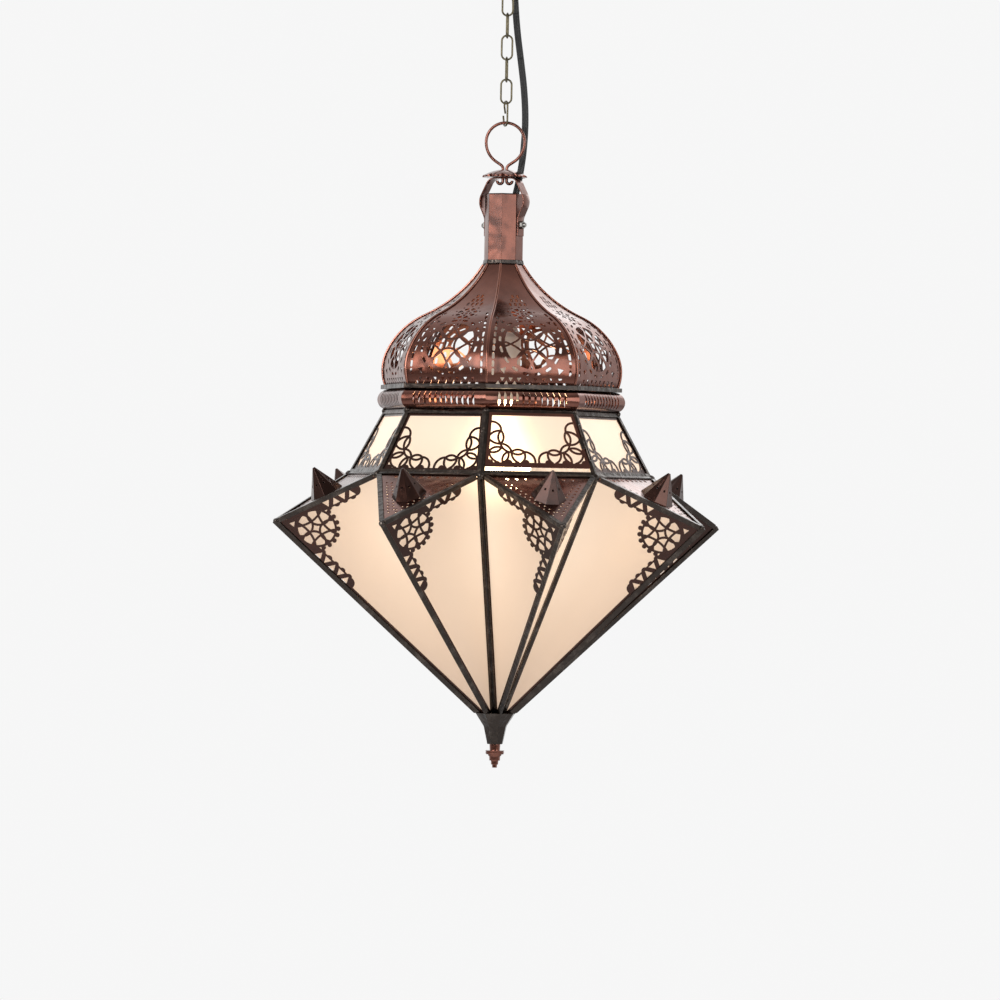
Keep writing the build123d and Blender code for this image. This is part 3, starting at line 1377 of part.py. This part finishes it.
os.makedirs("parts", exist_ok=True)
for name, shape in build().items():
    solids = shape.solids()
    export_step(solids[0] if len(solids) == 1 else Compound(solids), f"parts/{name}.step")
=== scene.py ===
import json
import math

import bpy
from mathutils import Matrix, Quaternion, Vector


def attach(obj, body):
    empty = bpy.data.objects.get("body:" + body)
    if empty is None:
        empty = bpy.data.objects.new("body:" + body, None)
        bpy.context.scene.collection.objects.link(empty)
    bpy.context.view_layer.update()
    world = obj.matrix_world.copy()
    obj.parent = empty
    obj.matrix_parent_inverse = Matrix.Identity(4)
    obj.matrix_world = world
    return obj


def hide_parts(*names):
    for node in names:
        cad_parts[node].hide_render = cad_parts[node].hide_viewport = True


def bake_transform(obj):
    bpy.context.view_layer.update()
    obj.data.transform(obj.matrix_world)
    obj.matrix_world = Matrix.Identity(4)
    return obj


# Star lantern: looks for the eight-sided copper lantern, its chain and its twin flex. Metres, +Z up.

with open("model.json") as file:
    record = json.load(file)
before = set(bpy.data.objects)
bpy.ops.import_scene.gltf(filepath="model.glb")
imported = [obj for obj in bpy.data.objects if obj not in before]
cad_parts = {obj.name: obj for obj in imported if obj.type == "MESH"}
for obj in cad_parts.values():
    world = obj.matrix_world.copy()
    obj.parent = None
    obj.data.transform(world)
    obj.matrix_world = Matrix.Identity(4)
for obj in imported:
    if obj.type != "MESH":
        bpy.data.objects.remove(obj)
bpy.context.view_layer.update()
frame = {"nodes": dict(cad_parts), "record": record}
nodes = frame["nodes"]

MM = 0.001

# Photograph's view
SENSOR = 36.0
LENS = 173.0
CAMERA_AZIMUTH = 6.9
CAMERA_DISTANCE = 4.57
CAMERA_HEIGHT = -0.556
CAMERA_SIDE = 0.0008
CAMERA_ROLL = 1.0
CLIP_END = 50.0

# Lantern sizes that the looks follow
SIDES = 8
BULB_CENTRE = (0.0, 0.0, -0.520)
TIP_RADIUS = 219.0 * MM
TIP_HEIGHT = -579.33 * MM
LEDGE_RADIUS = 143.8 * MM
LEDGE_HEIGHT = -532.33 * MM
EAVE_RADIUS = 111.4 * MM
EAVE_HEIGHT = -473.23 * MM
FIRST_VERTEX = -90.0
FIRST_TIP = -67.5

# Small rounds on folded and cut edges, mm
SOFT_EDGES = {
    "dome_seams": 0.6, "ridge_ribs": 0.5, "valley_ribs": 0.4, "rim_cames": 0.5, "upper_ribs": 0.5,
    "ledge_rail": 0.5, "eave_rail": 0.5, "neck_collar": 0.7, "collector_cone": 0.6, "cone_studs": 0.25,
    "bail_strap": 0.3, "cap_rosette": 0.4, "neck_tube": 1.1, "dome_base_band": 0.25, "bail_nuts": 0.4,
    "bail_bolts": 0.3, "finial": 0.3, "hook_nut": 0.4, "terminal_block": 0.5, "door_knuckle": 0.2,
}
SOFT_ANGLE = 28.0
SOFT_SEGMENTS = 2
WELD_GAP = 0.00001

# Twin flex: the given route and the heights where it is split at the joints, mm, and its two cores
FLEX_ROUTE = (
    (4.0, 15.0, -40.0),
    (4.1, 15.0, -60.0),
    (5.6, 13.4, -84.0),
    (8.2, 11.6, -110.0),
    (12.2, 10.8, -137.0),
    (16.0, 10.8, -165.353),
    (17.8, 10.4, -194.353),
    (16.8, 8.8, -222.353),
    (13.6, 6.6, -248.353),
    (8.6, 4.4, -272.353),
    (3.0, 1.6, -296.353),
    (0.0, 0.0, -322.353),
    (0.0, 0.0, -378.353),
)
FLEX_SPLITS = (-92.0, -135.0, -212.353, -286.353)
FLEX_WIDTH = 6.4 * MM
FLEX_THICK = 3.3 * MM
FLEX_ARC_STEPS = 9
FLEX_CORE_ARC = 154.0
FLEX_END_TRIM = 0.01

# Bodies that each length of flex joins, and the heights between which it bends, mm
FLEX_JOINTS = (
    ("ceiling_fitting", "top_link", -50, -88),
    ("top_link", "chain", -94, -128),
    ("chain", "ring", -160, -208),
    ("ring", "lantern", -214, -240),
)

# Solder drops: radius, height and first angle of the corners, then in mm how far the drops lie outside
# and below the corners, and the smallest and largest drop
DROPS = {
    "drops_at_tips": (TIP_RADIUS, TIP_HEIGHT, FIRST_TIP, -2.2, 0.0, 2.2, 2.9),
    "drops_at_ledge": (LEDGE_RADIUS, LEDGE_HEIGHT, FIRST_VERTEX, 0.8, 1.6, 3.2, 4.0),
    "drops_at_eave": (EAVE_RADIUS, EAVE_HEIGHT, FIRST_VERTEX, 0.2, 0.0, 2.4, 3.2),
}
DROP_LUMPINESS = 2.2 * MM
DROP_LUMPS_PER_METRE = 260.0

# Colours, linear
COPPER_DARK = (0.085, 0.030, 0.020, 1)
COPPER_MID = (0.170, 0.060, 0.040, 1)
COPPER_WARM = (0.300, 0.115, 0.076, 1)
COPPER_WORN = (0.400, 0.215, 0.160, 1)
# Painted shade: a darker copy of the same copper, for the tracery strands as dark backlit silhouettes and
# for darker cone studs
SHADED_COPPER_DARK = (0.026, 0.012, 0.009, 1)
SHADED_COPPER_MID = (0.050, 0.021, 0.015, 1)
SHADED_COPPER_LIGHT = (0.095, 0.040, 0.028, 1)
SOLDER_DARK = (0.040, 0.029, 0.023, 1)
SOLDER_LIGHT = (0.155, 0.124, 0.104, 1)
BRASS_DARK = (0.040, 0.034, 0.020, 1)
BRASS_LIGHT = (0.130, 0.110, 0.065, 1)
STEEL = (0.32, 0.31, 0.29, 1)
FLEX_BLACK = (0.010, 0.010, 0.010, 1)
HOLDER_WHITE = (0.72, 0.69, 0.62, 1)
GLASS_BODY = (0.34, 0.30, 0.27, 1)
# Painted bulb light: emission colours of the frosted glass, from near the bulb to far from it
PAINTED_GLOW_HOT = (0.60, 0.50, 0.40, 1)
PAINTED_GLOW_NEAR = (0.43, 0.32, 0.225, 1)
PAINTED_GLOW_FAR = (0.25, 0.187, 0.142, 1)
BULB_WARM = (1.0, 0.72, 0.42, 1)
FLOOR_PALE = (0.86, 0.86, 0.86, 1)
BACKGROUND = (0.925, 0.925, 0.925, 1)
ROOM_LIGHT = (0.80, 0.81, 0.83, 1)

# Finish of the metals and the glass
LACQUER_ROUGHNESS = 0.09
SPECKLE_SHARE = 0.12
DENT_STRENGTH = 0.6
FROST_ROUGHNESS = 0.32
FROST_TRANSMISSION = 0.75
BULB_STRENGTH = 14.0

# Stage: lamps as name, place, size and watts
LAMPS = (
    ("key", (-1.9, -2.6, 0.7), 2.0, 60),
    ("fill", (2.4, -2.0, 0.1), 2.0, 32),
    ("rim", (0.8, 2.6, 0.9), 2.0, 14),
    ("strip", (-0.7, -3.4, -0.1), 0.5, 12),
)
LAMP_TARGET = (0, 0, -0.5)
FLOOR_REACH = 6.0
FLOOR_HEIGHT = -2.0
FLOOR_PALENESS = 0.93
ROOM_STRENGTH = 0.55
MIRROR_FADE = (-0.75, 0.45)
MIRROR_STRENGTH = (0.16, 1.0)


def add_object(name, data):
    """A new object at the origin."""
    obj = bpy.data.objects.new(name, data)
    bpy.context.scene.collection.objects.link(obj)
    return obj


# Shader groups

def new_group(name, inputs, outputs):
    """Shader group with named float inputs and named outputs."""
    tree = bpy.data.node_groups.new(name, "ShaderNodeTree")
    for label, value in inputs:
        socket = tree.interface.new_socket(name=label, in_out="INPUT", socket_type="NodeSocketFloat")
        socket.default_value = value
    for label, kind in outputs:
        tree.interface.new_socket(name=label, in_out="OUTPUT", socket_type=kind)
    return tree, tree.nodes.new("NodeGroupInput"), tree.nodes.new("NodeGroupOutput")


def beaten_sheet_group():
    """Slow dents of hand-beaten sheet, and the cloudy tarnish on it."""
    tree, given, result = new_group(
        "beaten_sheet",
        (("Dents per metre", 38.0), ("Tarnish per metre", 26.0), ("Speckle per metre", 420.0)),
        (("Tarnish", "NodeSocketFloat"), ("Height", "NodeSocketFloat")))
    place = tree.nodes.new("ShaderNodeTexCoord")
    dents = tree.nodes.new("ShaderNodeTexNoise")
    dents.inputs["Detail"].default_value = 2.0
    clouds = tree.nodes.new("ShaderNodeTexNoise")
    clouds.inputs["Detail"].default_value = 6.0
    clouds.inputs["Roughness"].default_value = 0.65
    speckle = tree.nodes.new("ShaderNodeTexNoise")
    speckle.inputs["Detail"].default_value = 3.0
    for noise, label in ((dents, "Dents per metre"), (clouds, "Tarnish per metre"),
                         (speckle, "Speckle per metre")):
        tree.links.new(place.outputs["Object"], noise.inputs["Vector"])
        tree.links.new(given.outputs[label], noise.inputs["Scale"])
    mixed = tree.nodes.new("ShaderNodeMath")
    mixed.operation = "MULTIPLY_ADD"
    mixed.inputs[1].default_value = SPECKLE_SHARE
    tree.links.new(speckle.outputs["Fac"], mixed.inputs[0])
    lowered = tree.nodes.new("ShaderNodeMath")
    lowered.operation = "SUBTRACT"
    lowered.inputs[1].default_value = SPECKLE_SHARE / 2
    tree.links.new(clouds.outputs["Fac"], lowered.inputs[0])
    tree.links.new(lowered.outputs[0], mixed.inputs[2])
    tree.links.new(mixed.outputs[0], result.inputs["Tarnish"])
    tree.links.new(dents.outputs["Fac"], result.inputs["Height"])
    return tree


def painted_lamp_glow_group():
    """Painted bulb light: how brightly the frosted glass glows as emission, by its distance from the
    bulb.
    """
    tree, given, result = new_group(
        "painted_lamp_glow", (("Near", 0.09), ("Far", 0.25), ("Mottle", 0.05)), (("Color", "NodeSocketColor"),))
    place = tree.nodes.new("ShaderNodeTexCoord")
    away = tree.nodes.new("ShaderNodeVectorMath")
    away.operation = "DISTANCE"
    away.inputs[1].default_value = BULB_CENTRE
    tree.links.new(place.outputs["Object"], away.inputs[0])
    mottle = tree.nodes.new("ShaderNodeTexNoise")
    mottle.inputs["Scale"].default_value = 30.0
    mottle.inputs["Detail"].default_value = 3.0
    tree.links.new(place.outputs["Object"], mottle.inputs["Vector"])
    share = tree.nodes.new("ShaderNodeMapRange")
    tree.links.new(away.outputs["Value"], share.inputs["Value"])
    tree.links.new(given.outputs["Near"], share.inputs["From Min"])
    tree.links.new(given.outputs["Far"], share.inputs["From Max"])
    uneven = tree.nodes.new("ShaderNodeMath")
    uneven.operation = "MULTIPLY_ADD"
    tree.links.new(mottle.outputs["Fac"], uneven.inputs[0])
    tree.links.new(given.outputs["Mottle"], uneven.inputs[1])
    tree.links.new(share.outputs["Result"], uneven.inputs[2])
    ramp = tree.nodes.new("ShaderNodeValToRGB")
    ramp.color_ramp.interpolation = "B_SPLINE"
    stops = ramp.color_ramp.elements
    stops[0].position, stops[0].color = 0.06, PAINTED_GLOW_HOT
    stops[1].position, stops[1].color = 1.0, PAINTED_GLOW_FAR
    middle = stops.new(0.45)
    middle.color = PAINTED_GLOW_NEAR
    tree.links.new(uneven.outputs[0], ramp.inputs["Fac"])
    tree.links.new(ramp.outputs["Color"], result.inputs["Color"])
    return tree


BEATEN = beaten_sheet_group()
PAINTED_GLOW = painted_lamp_glow_group()


# Materials

def new_material(name, **values):
    """Principled material with plain values set on its own sockets."""
    material = bpy.data.materials.new(name)
    material.use_nodes = True
    shader = material.node_tree.nodes["Principled BSDF"]
    for label, value in values.items():
        shader.inputs[label.replace("_", " ")].default_value = value
    return material, material.node_tree, shader


def add_group(tree, group, **values):
    """A shader group placed in a material with its own values."""
    placed = tree.nodes.new("ShaderNodeGroup")
    placed.node_tree = group
    for label, value in values.items():
        placed.inputs[label.replace("_", " ")].default_value = value
    return placed


def tarnished_metal(name, dark, middle, light, roughness, dents, depth, clouds, lacquer):
    """Metal whose colour and gloss change with its tarnish, over slow dents and under lacquer."""
    material, tree, shader = new_material(
        name, Metallic=1.0, Coat_Weight=lacquer, Coat_Roughness=LACQUER_ROUGHNESS)
    sheet = add_group(tree, BEATEN, Dents_per_metre=dents, Tarnish_per_metre=clouds)
    ramp = tree.nodes.new("ShaderNodeValToRGB")
    stops = ramp.color_ramp.elements
    stops[0].position, stops[0].color = 0.14, dark
    stops[1].position, stops[1].color = 0.88, light
    stops.new(0.50).color = middle
    tree.links.new(sheet.outputs["Tarnish"], ramp.inputs["Fac"])
    tree.links.new(ramp.outputs["Color"], shader.inputs["Base Color"])
    gloss = tree.nodes.new("ShaderNodeMapRange")
    gloss.inputs["From Min"].default_value = 0.3
    gloss.inputs["From Max"].default_value = 0.7
    gloss.inputs["To Min"].default_value = roughness[1]
    gloss.inputs["To Max"].default_value = roughness[0]
    tree.links.new(sheet.outputs["Tarnish"], gloss.inputs["Value"])
    tree.links.new(gloss.outputs["Result"], shader.inputs["Roughness"])
    bump = tree.nodes.new("ShaderNodeBump")
    bump.inputs["Strength"].default_value = DENT_STRENGTH
    bump.inputs["Distance"].default_value = depth
    tree.links.new(sheet.outputs["Height"], bump.inputs["Height"])
    tree.links.new(bump.outputs["Normal"], shader.inputs["Normal"])
    return material


def frosted_glass():
    """White glass that passes a blurred bulb, and glows with painted bulb light as emission, most where
    the bulb is near.
    """
    material, tree, shader = new_material(
        "frosted_glass", Base_Color=GLASS_BODY, Roughness=FROST_ROUGHNESS,
        Transmission_Weight=FROST_TRANSMISSION, Emission_Strength=1.0)
    # The glass glows with painted bulb light as emission
    painted_glow = add_group(tree, PAINTED_GLOW)
    tree.links.new(painted_glow.outputs["Color"], shader.inputs["Emission Color"])
    return material


# Metals: colours from dark to light, roughness of bright and dull metal, dents per metre, depth of the
# dents in metres, clouds of tarnish per metre, lacquer
MATERIALS = {
    "copper": tarnished_metal(
        "aged_copper", COPPER_DARK, COPPER_MID, COPPER_WARM, (0.16, 0.30), 30, 0.004, 9, 0.5),
    "worn_copper": tarnished_metal(
        "worn_copper", COPPER_MID, COPPER_WARM, COPPER_WORN, (0.16, 0.28), 12, 0.003, 6, 0.5),
    # The same copper darkened as painted shade
    "painted_shade_copper": tarnished_metal(
        "painted_shade_copper", SHADED_COPPER_DARK, SHADED_COPPER_MID, SHADED_COPPER_LIGHT, (0.20, 0.36), 30, 0.004, 9, 0.4),
    "solder": tarnished_metal(
        "dark_solder", SOLDER_DARK, SOLDER_DARK, SOLDER_LIGHT, (0.22, 0.44), 150, 0.003, 60, 0.4),
    "chain_brass": tarnished_metal(
        "antique_brass", BRASS_DARK, BRASS_LIGHT, BRASS_LIGHT, (0.26, 0.44), 200, 0.001, 160, 0.2),
    "frosted_glass": frosted_glass(),
    "steel": new_material("plain_steel", Base_Color=STEEL, Metallic=1.0, Roughness=0.38)[0],
    "holder_plastic": new_material("cream_plastic", Base_Color=HOLDER_WHITE, Roughness=0.35)[0],
    "bulb_glass": new_material(
        "lit_opal", Base_Color=BULB_WARM, Roughness=0.3, Emission_Color=BULB_WARM,
        Emission_Strength=BULB_STRENGTH)[0],
    "cord_rubber": new_material("black_flex", Base_Color=FLEX_BLACK, Roughness=0.5)[0],
}

# Nodes whose finish differs from that of their slot
FINISHES = {
    # The tracery and the cone studs take the copper darkened as painted shade
    "star_tracery": "painted_shade_copper", "upper_tracery": "painted_shade_copper", "cone_studs": "painted_shade_copper",
    "collector_cone": "solder", "dome_seams": "worn_copper",
}


def dress_nodes():
    """Every solid takes the material of its slot, or a finish of its own."""
    for entry in frame["record"]["subparts"]:
        mesh = nodes[entry["node"]].data
        mesh.materials.clear()
        mesh.materials.append(MATERIALS[FINISHES.get(entry["node"], entry["material_slot"])])


def soften(name, width):
    """Folded and cut edges of a solid get a small round."""
    solid = nodes[name]
    merge = solid.modifiers.new("merge", "WELD")
    merge.merge_threshold = WELD_GAP
    edges = solid.modifiers.new("soft_edges", "BEVEL")
    edges.width = width
    edges.segments = SOFT_SEGMENTS
    edges.limit_method = "ANGLE"
    edges.angle_limit = math.radians(SOFT_ANGLE)


# Twin flex

def follow_route(points):
    """Points along the smooth line that the route's points control."""
    curve = bpy.data.curves.new("flex_route", "CURVE")
    curve.dimensions = "3D"
    curve.resolution_u = 16
    spline = curve.splines.new("NURBS")
    spline.points.add(len(points) - 1)
    for control, point in zip(spline.points, points):
        control.co = (*[MM * value for value in point], 1)
    spline.order_u = 3
    spline.use_endpoint_u = True
    guide = add_object("flex_route", curve)
    mesh = bpy.data.meshes.new_from_object(guide)
    line = [vertex.co.copy() for vertex in mesh.vertices]
    bpy.data.objects.remove(guide)
    bpy.data.curves.remove(curve)
    bpy.data.meshes.remove(mesh)
    return line


def between_heights(line, high, low):
    """The stretch of a falling line between two heights, with its ends exactly there."""
    stretch = []
    for a, b in zip(line, line[1:]):
        for height in (high, low):
            if b.z < height <= a.z and a.z > b.z:
                stretch.append(a.lerp(b, (a.z - height) / (a.z - b.z)))
        if low < b.z < high:
            stretch.append(b)
    return stretch


def twin_section():
    """Outline of two round cores side by side, across and through the flat of the flex."""
    core = FLEX_THICK / 2
    reach = FLEX_WIDTH / 2 - core
    notch = math.radians(FLEX_CORE_ARC)
    outline = []
    for side in (0, math.pi):
        for step in range(FLEX_ARC_STEPS):
            angle = side - notch + 2 * notch * step / (FLEX_ARC_STEPS - 1)
            outline.append((math.cos(side) * reach + core * math.cos(angle), core * math.sin(angle)))
    return outline


def flex_piece(name, line):
    """A length of flat twin flex along a line, its flat towards the front."""
    section = twin_section()
    count = len(section)
    vertices = []
    for i, point in enumerate(line):
        run = (line[min(i + 1, len(line) - 1)] - line[max(i - 1, 0)]).normalized()
        across = Vector((1, 0, 0))
        across = (across - run * across.dot(run)).normalized()
        through = run.cross(across)
        vertices += [point + across * u + through * v for u, v in section]
    faces = []
    for ring in range(len(line) - 1):
        low, high = ring * count, (ring + 1) * count
        for i in range(count):
            j = (i + 1) % count
            faces.append((low + i, low + j, high + j, high + i))
    last = (len(line) - 1) * count
    faces.append(tuple(reversed(range(count))))
    faces.append(tuple(range(last, last + count)))
    mesh = bpy.data.meshes.new(name)
    mesh.from_pydata(vertices, [], faces)
    mesh.shade_smooth()
    mesh.materials.append(MATERIALS["cord_rubber"])
    return add_object(name, mesh)


def hang_flex():
    """The flex in one piece for each joint that it crosses, and the piece inside the neck."""
    line = follow_route(FLEX_ROUTE)
    levels = [FLEX_ROUTE[0][2] - FLEX_END_TRIM, *FLEX_SPLITS, FLEX_ROUTE[-1][2] + FLEX_END_TRIM]
    for i, (high, low) in enumerate(zip(levels, levels[1:])):
        stretch = between_heights(line, high * MM, low * MM)
        inner = i == len(FLEX_JOINTS)
        solid = "inner_cord" if inner else f"supply_cord_{i + 1}"
        piece = flex_piece(f"flex_{i + 1}", stretch)
        if inner:
            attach(piece, "lantern")
        else:
            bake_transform(piece)
        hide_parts(solid)


# Solder drops

def drop_tree():
    """Uneven drops of solder on every point of a mesh."""
    tree = bpy.data.node_groups.new("solder_drops", "GeometryNodeTree")
    face = tree.interface
    face.new_socket(name="Geometry", in_out="OUTPUT", socket_type="NodeSocketGeometry")
    face.new_socket(name="Geometry", in_out="INPUT", socket_type="NodeSocketGeometry")
    for label, kind in (("Smallest", "NodeSocketFloat"), ("Largest", "NodeSocketFloat"),
                        ("Lumpiness", "NodeSocketFloat"), ("Seed", "NodeSocketInt"),
                        ("Material", "NodeSocketMaterial")):
        face.new_socket(name=label, in_out="INPUT", socket_type=kind)
    make = tree.nodes.new
    join = tree.links.new
    given, result = make("NodeGroupInput"), make("NodeGroupOutput")
    drop = make("GeometryNodeMeshIcoSphere")
    drop.inputs["Radius"].default_value = 1.0
    drop.inputs["Subdivisions"].default_value = 3
    size = make("FunctionNodeRandomValue")
    size.data_type = "FLOAT"
    join(given.outputs["Smallest"], size.inputs[2])
    join(given.outputs["Largest"], size.inputs[3])
    join(given.outputs["Seed"], size.inputs["Seed"])
    place = make("GeometryNodeInstanceOnPoints")
    join(given.outputs["Geometry"], place.inputs["Points"])
    join(drop.outputs["Mesh"], place.inputs["Instance"])
    join(size.outputs[1], place.inputs["Scale"])
    whole = make("GeometryNodeRealizeInstances")
    join(place.outputs["Instances"], whole.inputs["Geometry"])
    noise = make("ShaderNodeTexNoise")
    noise.inputs["Scale"].default_value = DROP_LUMPS_PER_METRE
    normal = make("GeometryNodeInputNormal")
    middle = make("ShaderNodeMath")
    middle.operation = "SUBTRACT"
    middle.inputs[1].default_value = 0.5
    join(noise.outputs["Fac"], middle.inputs[0])
    lump = make("ShaderNodeMath")
    lump.operation = "MULTIPLY"
    join(middle.outputs[0], lump.inputs[0])
    join(given.outputs["Lumpiness"], lump.inputs[1])
    push = make("ShaderNodeVectorMath")
    push.operation = "SCALE"
    join(normal.outputs["Normal"], push.inputs[0])
    join(lump.outputs[0], push.inputs["Scale"])
    move = make("GeometryNodeSetPosition")
    join(whole.outputs["Geometry"], move.inputs["Geometry"])
    join(push.outputs["Vector"], move.inputs["Offset"])
    smooth = make("GeometryNodeSetShadeSmooth")
    join(move.outputs["Geometry"], smooth.inputs["Geometry"])
    paint = make("GeometryNodeSetMaterial")
    join(smooth.outputs["Geometry"], paint.inputs["Geometry"])
    join(given.outputs["Material"], paint.inputs["Material"])
    join(paint.outputs["Geometry"], result.inputs["Geometry"])
    return tree


def run_tree(name, points, tree, values):
    """The plain mesh that a node tree makes on these points."""
    seed_mesh = bpy.data.meshes.new(name + "_points")
    seed_mesh.from_pydata(points, [], [])
    maker = add_object(name + "_points", seed_mesh)
    modifier = maker.modifiers.new("make", "NODES")
    modifier.node_group = tree
    for socket in tree.interface.items_tree:
        if socket.item_type == "SOCKET" and socket.in_out == "INPUT" and socket.name in values:
            modifier[socket.identifier] = values[socket.name]
    ready = maker.evaluated_get(bpy.context.evaluated_depsgraph_get())
    mesh = bpy.data.meshes.new_from_object(ready)
    mesh.name = name
    bpy.data.objects.remove(maker)
    bpy.data.meshes.remove(seed_mesh)
    return add_object(name, mesh)


def round_points(radius, height, first):
    """One point at each of the eight corners."""
    points = []
    for i in range(SIDES):
        angle = math.radians(first + 360 / SIDES * i)
        points.append((radius * math.cos(angle), radius * math.sin(angle), height))
    return points


def solder_drops():
    """Drops of solder at the star's tips and at the corners of the ledge and the eave."""
    tree = drop_tree()
    for seed, (name, ring) in enumerate(DROPS.items(), start=1):
        radius, height, first, out, below, smallest, largest = ring
        points = round_points(radius + out * MM, height - below * MM, first)
        piece = run_tree(name, points, tree, {
            "Smallest": smallest * MM, "Largest": largest * MM, "Lumpiness": DROP_LUMPINESS, "Seed": seed,
            "Material": MATERIALS["solder"]})
        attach(piece, "lantern")


# Studio

def add_camera():
    """The view of the photograph."""
    camera = add_object("camera", bpy.data.cameras.new("camera"))
    camera.data.sensor_width = SENSOR
    camera.data.lens = LENS
    camera.data.clip_end = CLIP_END
    azimuth = math.radians(CAMERA_AZIMUTH)
    back = Vector((math.sin(azimuth), -math.cos(azimuth), 0))
    right = Vector((math.cos(azimuth), math.sin(azimuth), 0))
    look = (-back).to_track_quat("-Z", "Y")
    roll = Quaternion((0, 0, 1), math.radians(CAMERA_ROLL))
    camera.rotation_mode = "QUATERNION"
    camera.rotation_quaternion = look @ roll
    camera.location = back * CAMERA_DISTANCE + right * CAMERA_SIDE + Vector((0, 0, CAMERA_HEIGHT))
    bpy.context.scene.camera = camera


def add_lamp(name, place, size, power):
    """A square lamp that faces the lantern."""
    light = bpy.data.lights.new(name, "AREA")
    light.shape = "SQUARE"
    light.size = size
    light.energy = power
    lamp = add_object(name, light)
    lamp.location = place
    lamp.rotation_mode = "QUATERNION"
    lamp.rotation_quaternion = (Vector(LAMP_TARGET) - Vector(place)).to_track_quat("-Z", "Y")


def add_floor():
    """Pale floor far below the lamp, which a view from underneath looks through."""
    mesh = bpy.data.meshes.new("floor")
    signs = ((-1, -1), (1, -1), (1, 1), (-1, 1))
    corners = [(x * FLOOR_REACH, y * FLOOR_REACH, FLOOR_HEIGHT) for x, y in signs]
    mesh.from_pydata(corners, [], [(0, 1, 2, 3)])
    material, tree, shader = new_material("pale_floor", Base_Color=FLOOR_PALE, Roughness=0.9)
    rays = tree.nodes.new("ShaderNodeLightPath")
    pale = tree.nodes.new("ShaderNodeEmission")
    pale.inputs["Color"].default_value = BACKGROUND
    seen = tree.nodes.new("ShaderNodeMath")
    seen.operation = "MULTIPLY"
    seen.inputs[1].default_value = FLOOR_PALENESS
    mixed = tree.nodes.new("ShaderNodeMixShader")
    tree.links.new(rays.outputs["Is Camera Ray"], seen.inputs[0])
    tree.links.new(seen.outputs[0], mixed.inputs["Fac"])
    tree.links.new(shader.outputs[0], mixed.inputs[1])
    tree.links.new(pale.outputs[0], mixed.inputs[2])
    side = tree.nodes.new("ShaderNodeNewGeometry")
    clear = tree.nodes.new("ShaderNodeBsdfTransparent")
    from_above = tree.nodes.new("ShaderNodeMixShader")
    tree.links.new(side.outputs["Backfacing"], from_above.inputs["Fac"])
    tree.links.new(mixed.outputs[0], from_above.inputs[1])
    tree.links.new(clear.outputs[0], from_above.inputs[2])
    tree.links.new(from_above.outputs[0], tree.nodes["Material Output"].inputs["Surface"])
    mesh.materials.append(material)
    add_object("floor", mesh)


def add_world():
    """Soft room light, a white background for the eye, and for metal a room that darkens to the front."""
    world = bpy.data.worlds.new("studio")
    bpy.context.scene.world = world
    world.use_nodes = True
    tree = world.node_tree
    room = tree.nodes["Background"]
    room.inputs["Color"].default_value = ROOM_LIGHT
    room.inputs["Strength"].default_value = ROOM_STRENGTH
    white = tree.nodes.new("ShaderNodeBackground")
    white.inputs["Color"].default_value = BACKGROUND
    mirror_room = tree.nodes.new("ShaderNodeBackground")
    mirror_room.inputs["Color"].default_value = BACKGROUND
    place = tree.nodes.new("ShaderNodeTexCoord")
    parts = tree.nodes.new("ShaderNodeSeparateXYZ")
    tree.links.new(place.outputs["Generated"], parts.inputs[0])
    fade = tree.nodes.new("ShaderNodeMapRange")
    fade.interpolation_type = "SMOOTHSTEP"
    fade.inputs["From Min"].default_value, fade.inputs["From Max"].default_value = MIRROR_FADE
    fade.inputs["To Min"].default_value, fade.inputs["To Max"].default_value = MIRROR_STRENGTH
    tree.links.new(parts.outputs["Y"], fade.inputs["Value"])
    tree.links.new(fade.outputs["Result"], mirror_room.inputs["Strength"])
    rays = tree.nodes.new("ShaderNodeLightPath")
    seen = tree.nodes.new("ShaderNodeMath")
    seen.operation = "MAXIMUM"
    tree.links.new(rays.outputs["Is Camera Ray"], seen.inputs[0])
    tree.links.new(rays.outputs["Is Transmission Ray"], seen.inputs[1])
    to_metal = tree.nodes.new("ShaderNodeMixShader")
    tree.links.new(rays.outputs["Is Glossy Ray"], to_metal.inputs["Fac"])
    tree.links.new(room.outputs[0], to_metal.inputs[1])
    tree.links.new(mirror_room.outputs[0], to_metal.inputs[2])
    to_eye = tree.nodes.new("ShaderNodeMixShader")
    tree.links.new(seen.outputs[0], to_eye.inputs["Fac"])
    tree.links.new(to_metal.outputs[0], to_eye.inputs[1])
    tree.links.new(white.outputs[0], to_eye.inputs[2])
    tree.links.new(to_eye.outputs[0], tree.nodes["World Output"].inputs["Surface"])


add_camera()
dress_nodes()
for node_name, edge_width in SOFT_EDGES.items():
    soften(node_name, edge_width * MM)
hang_flex()
solder_drops()
for lamp_name, lamp_place, lamp_size, watts in LAMPS:
    add_lamp(lamp_name, lamp_place, lamp_size, watts)
add_floor()
add_world()
bpy.context.scene.view_settings.view_transform = "Standard"
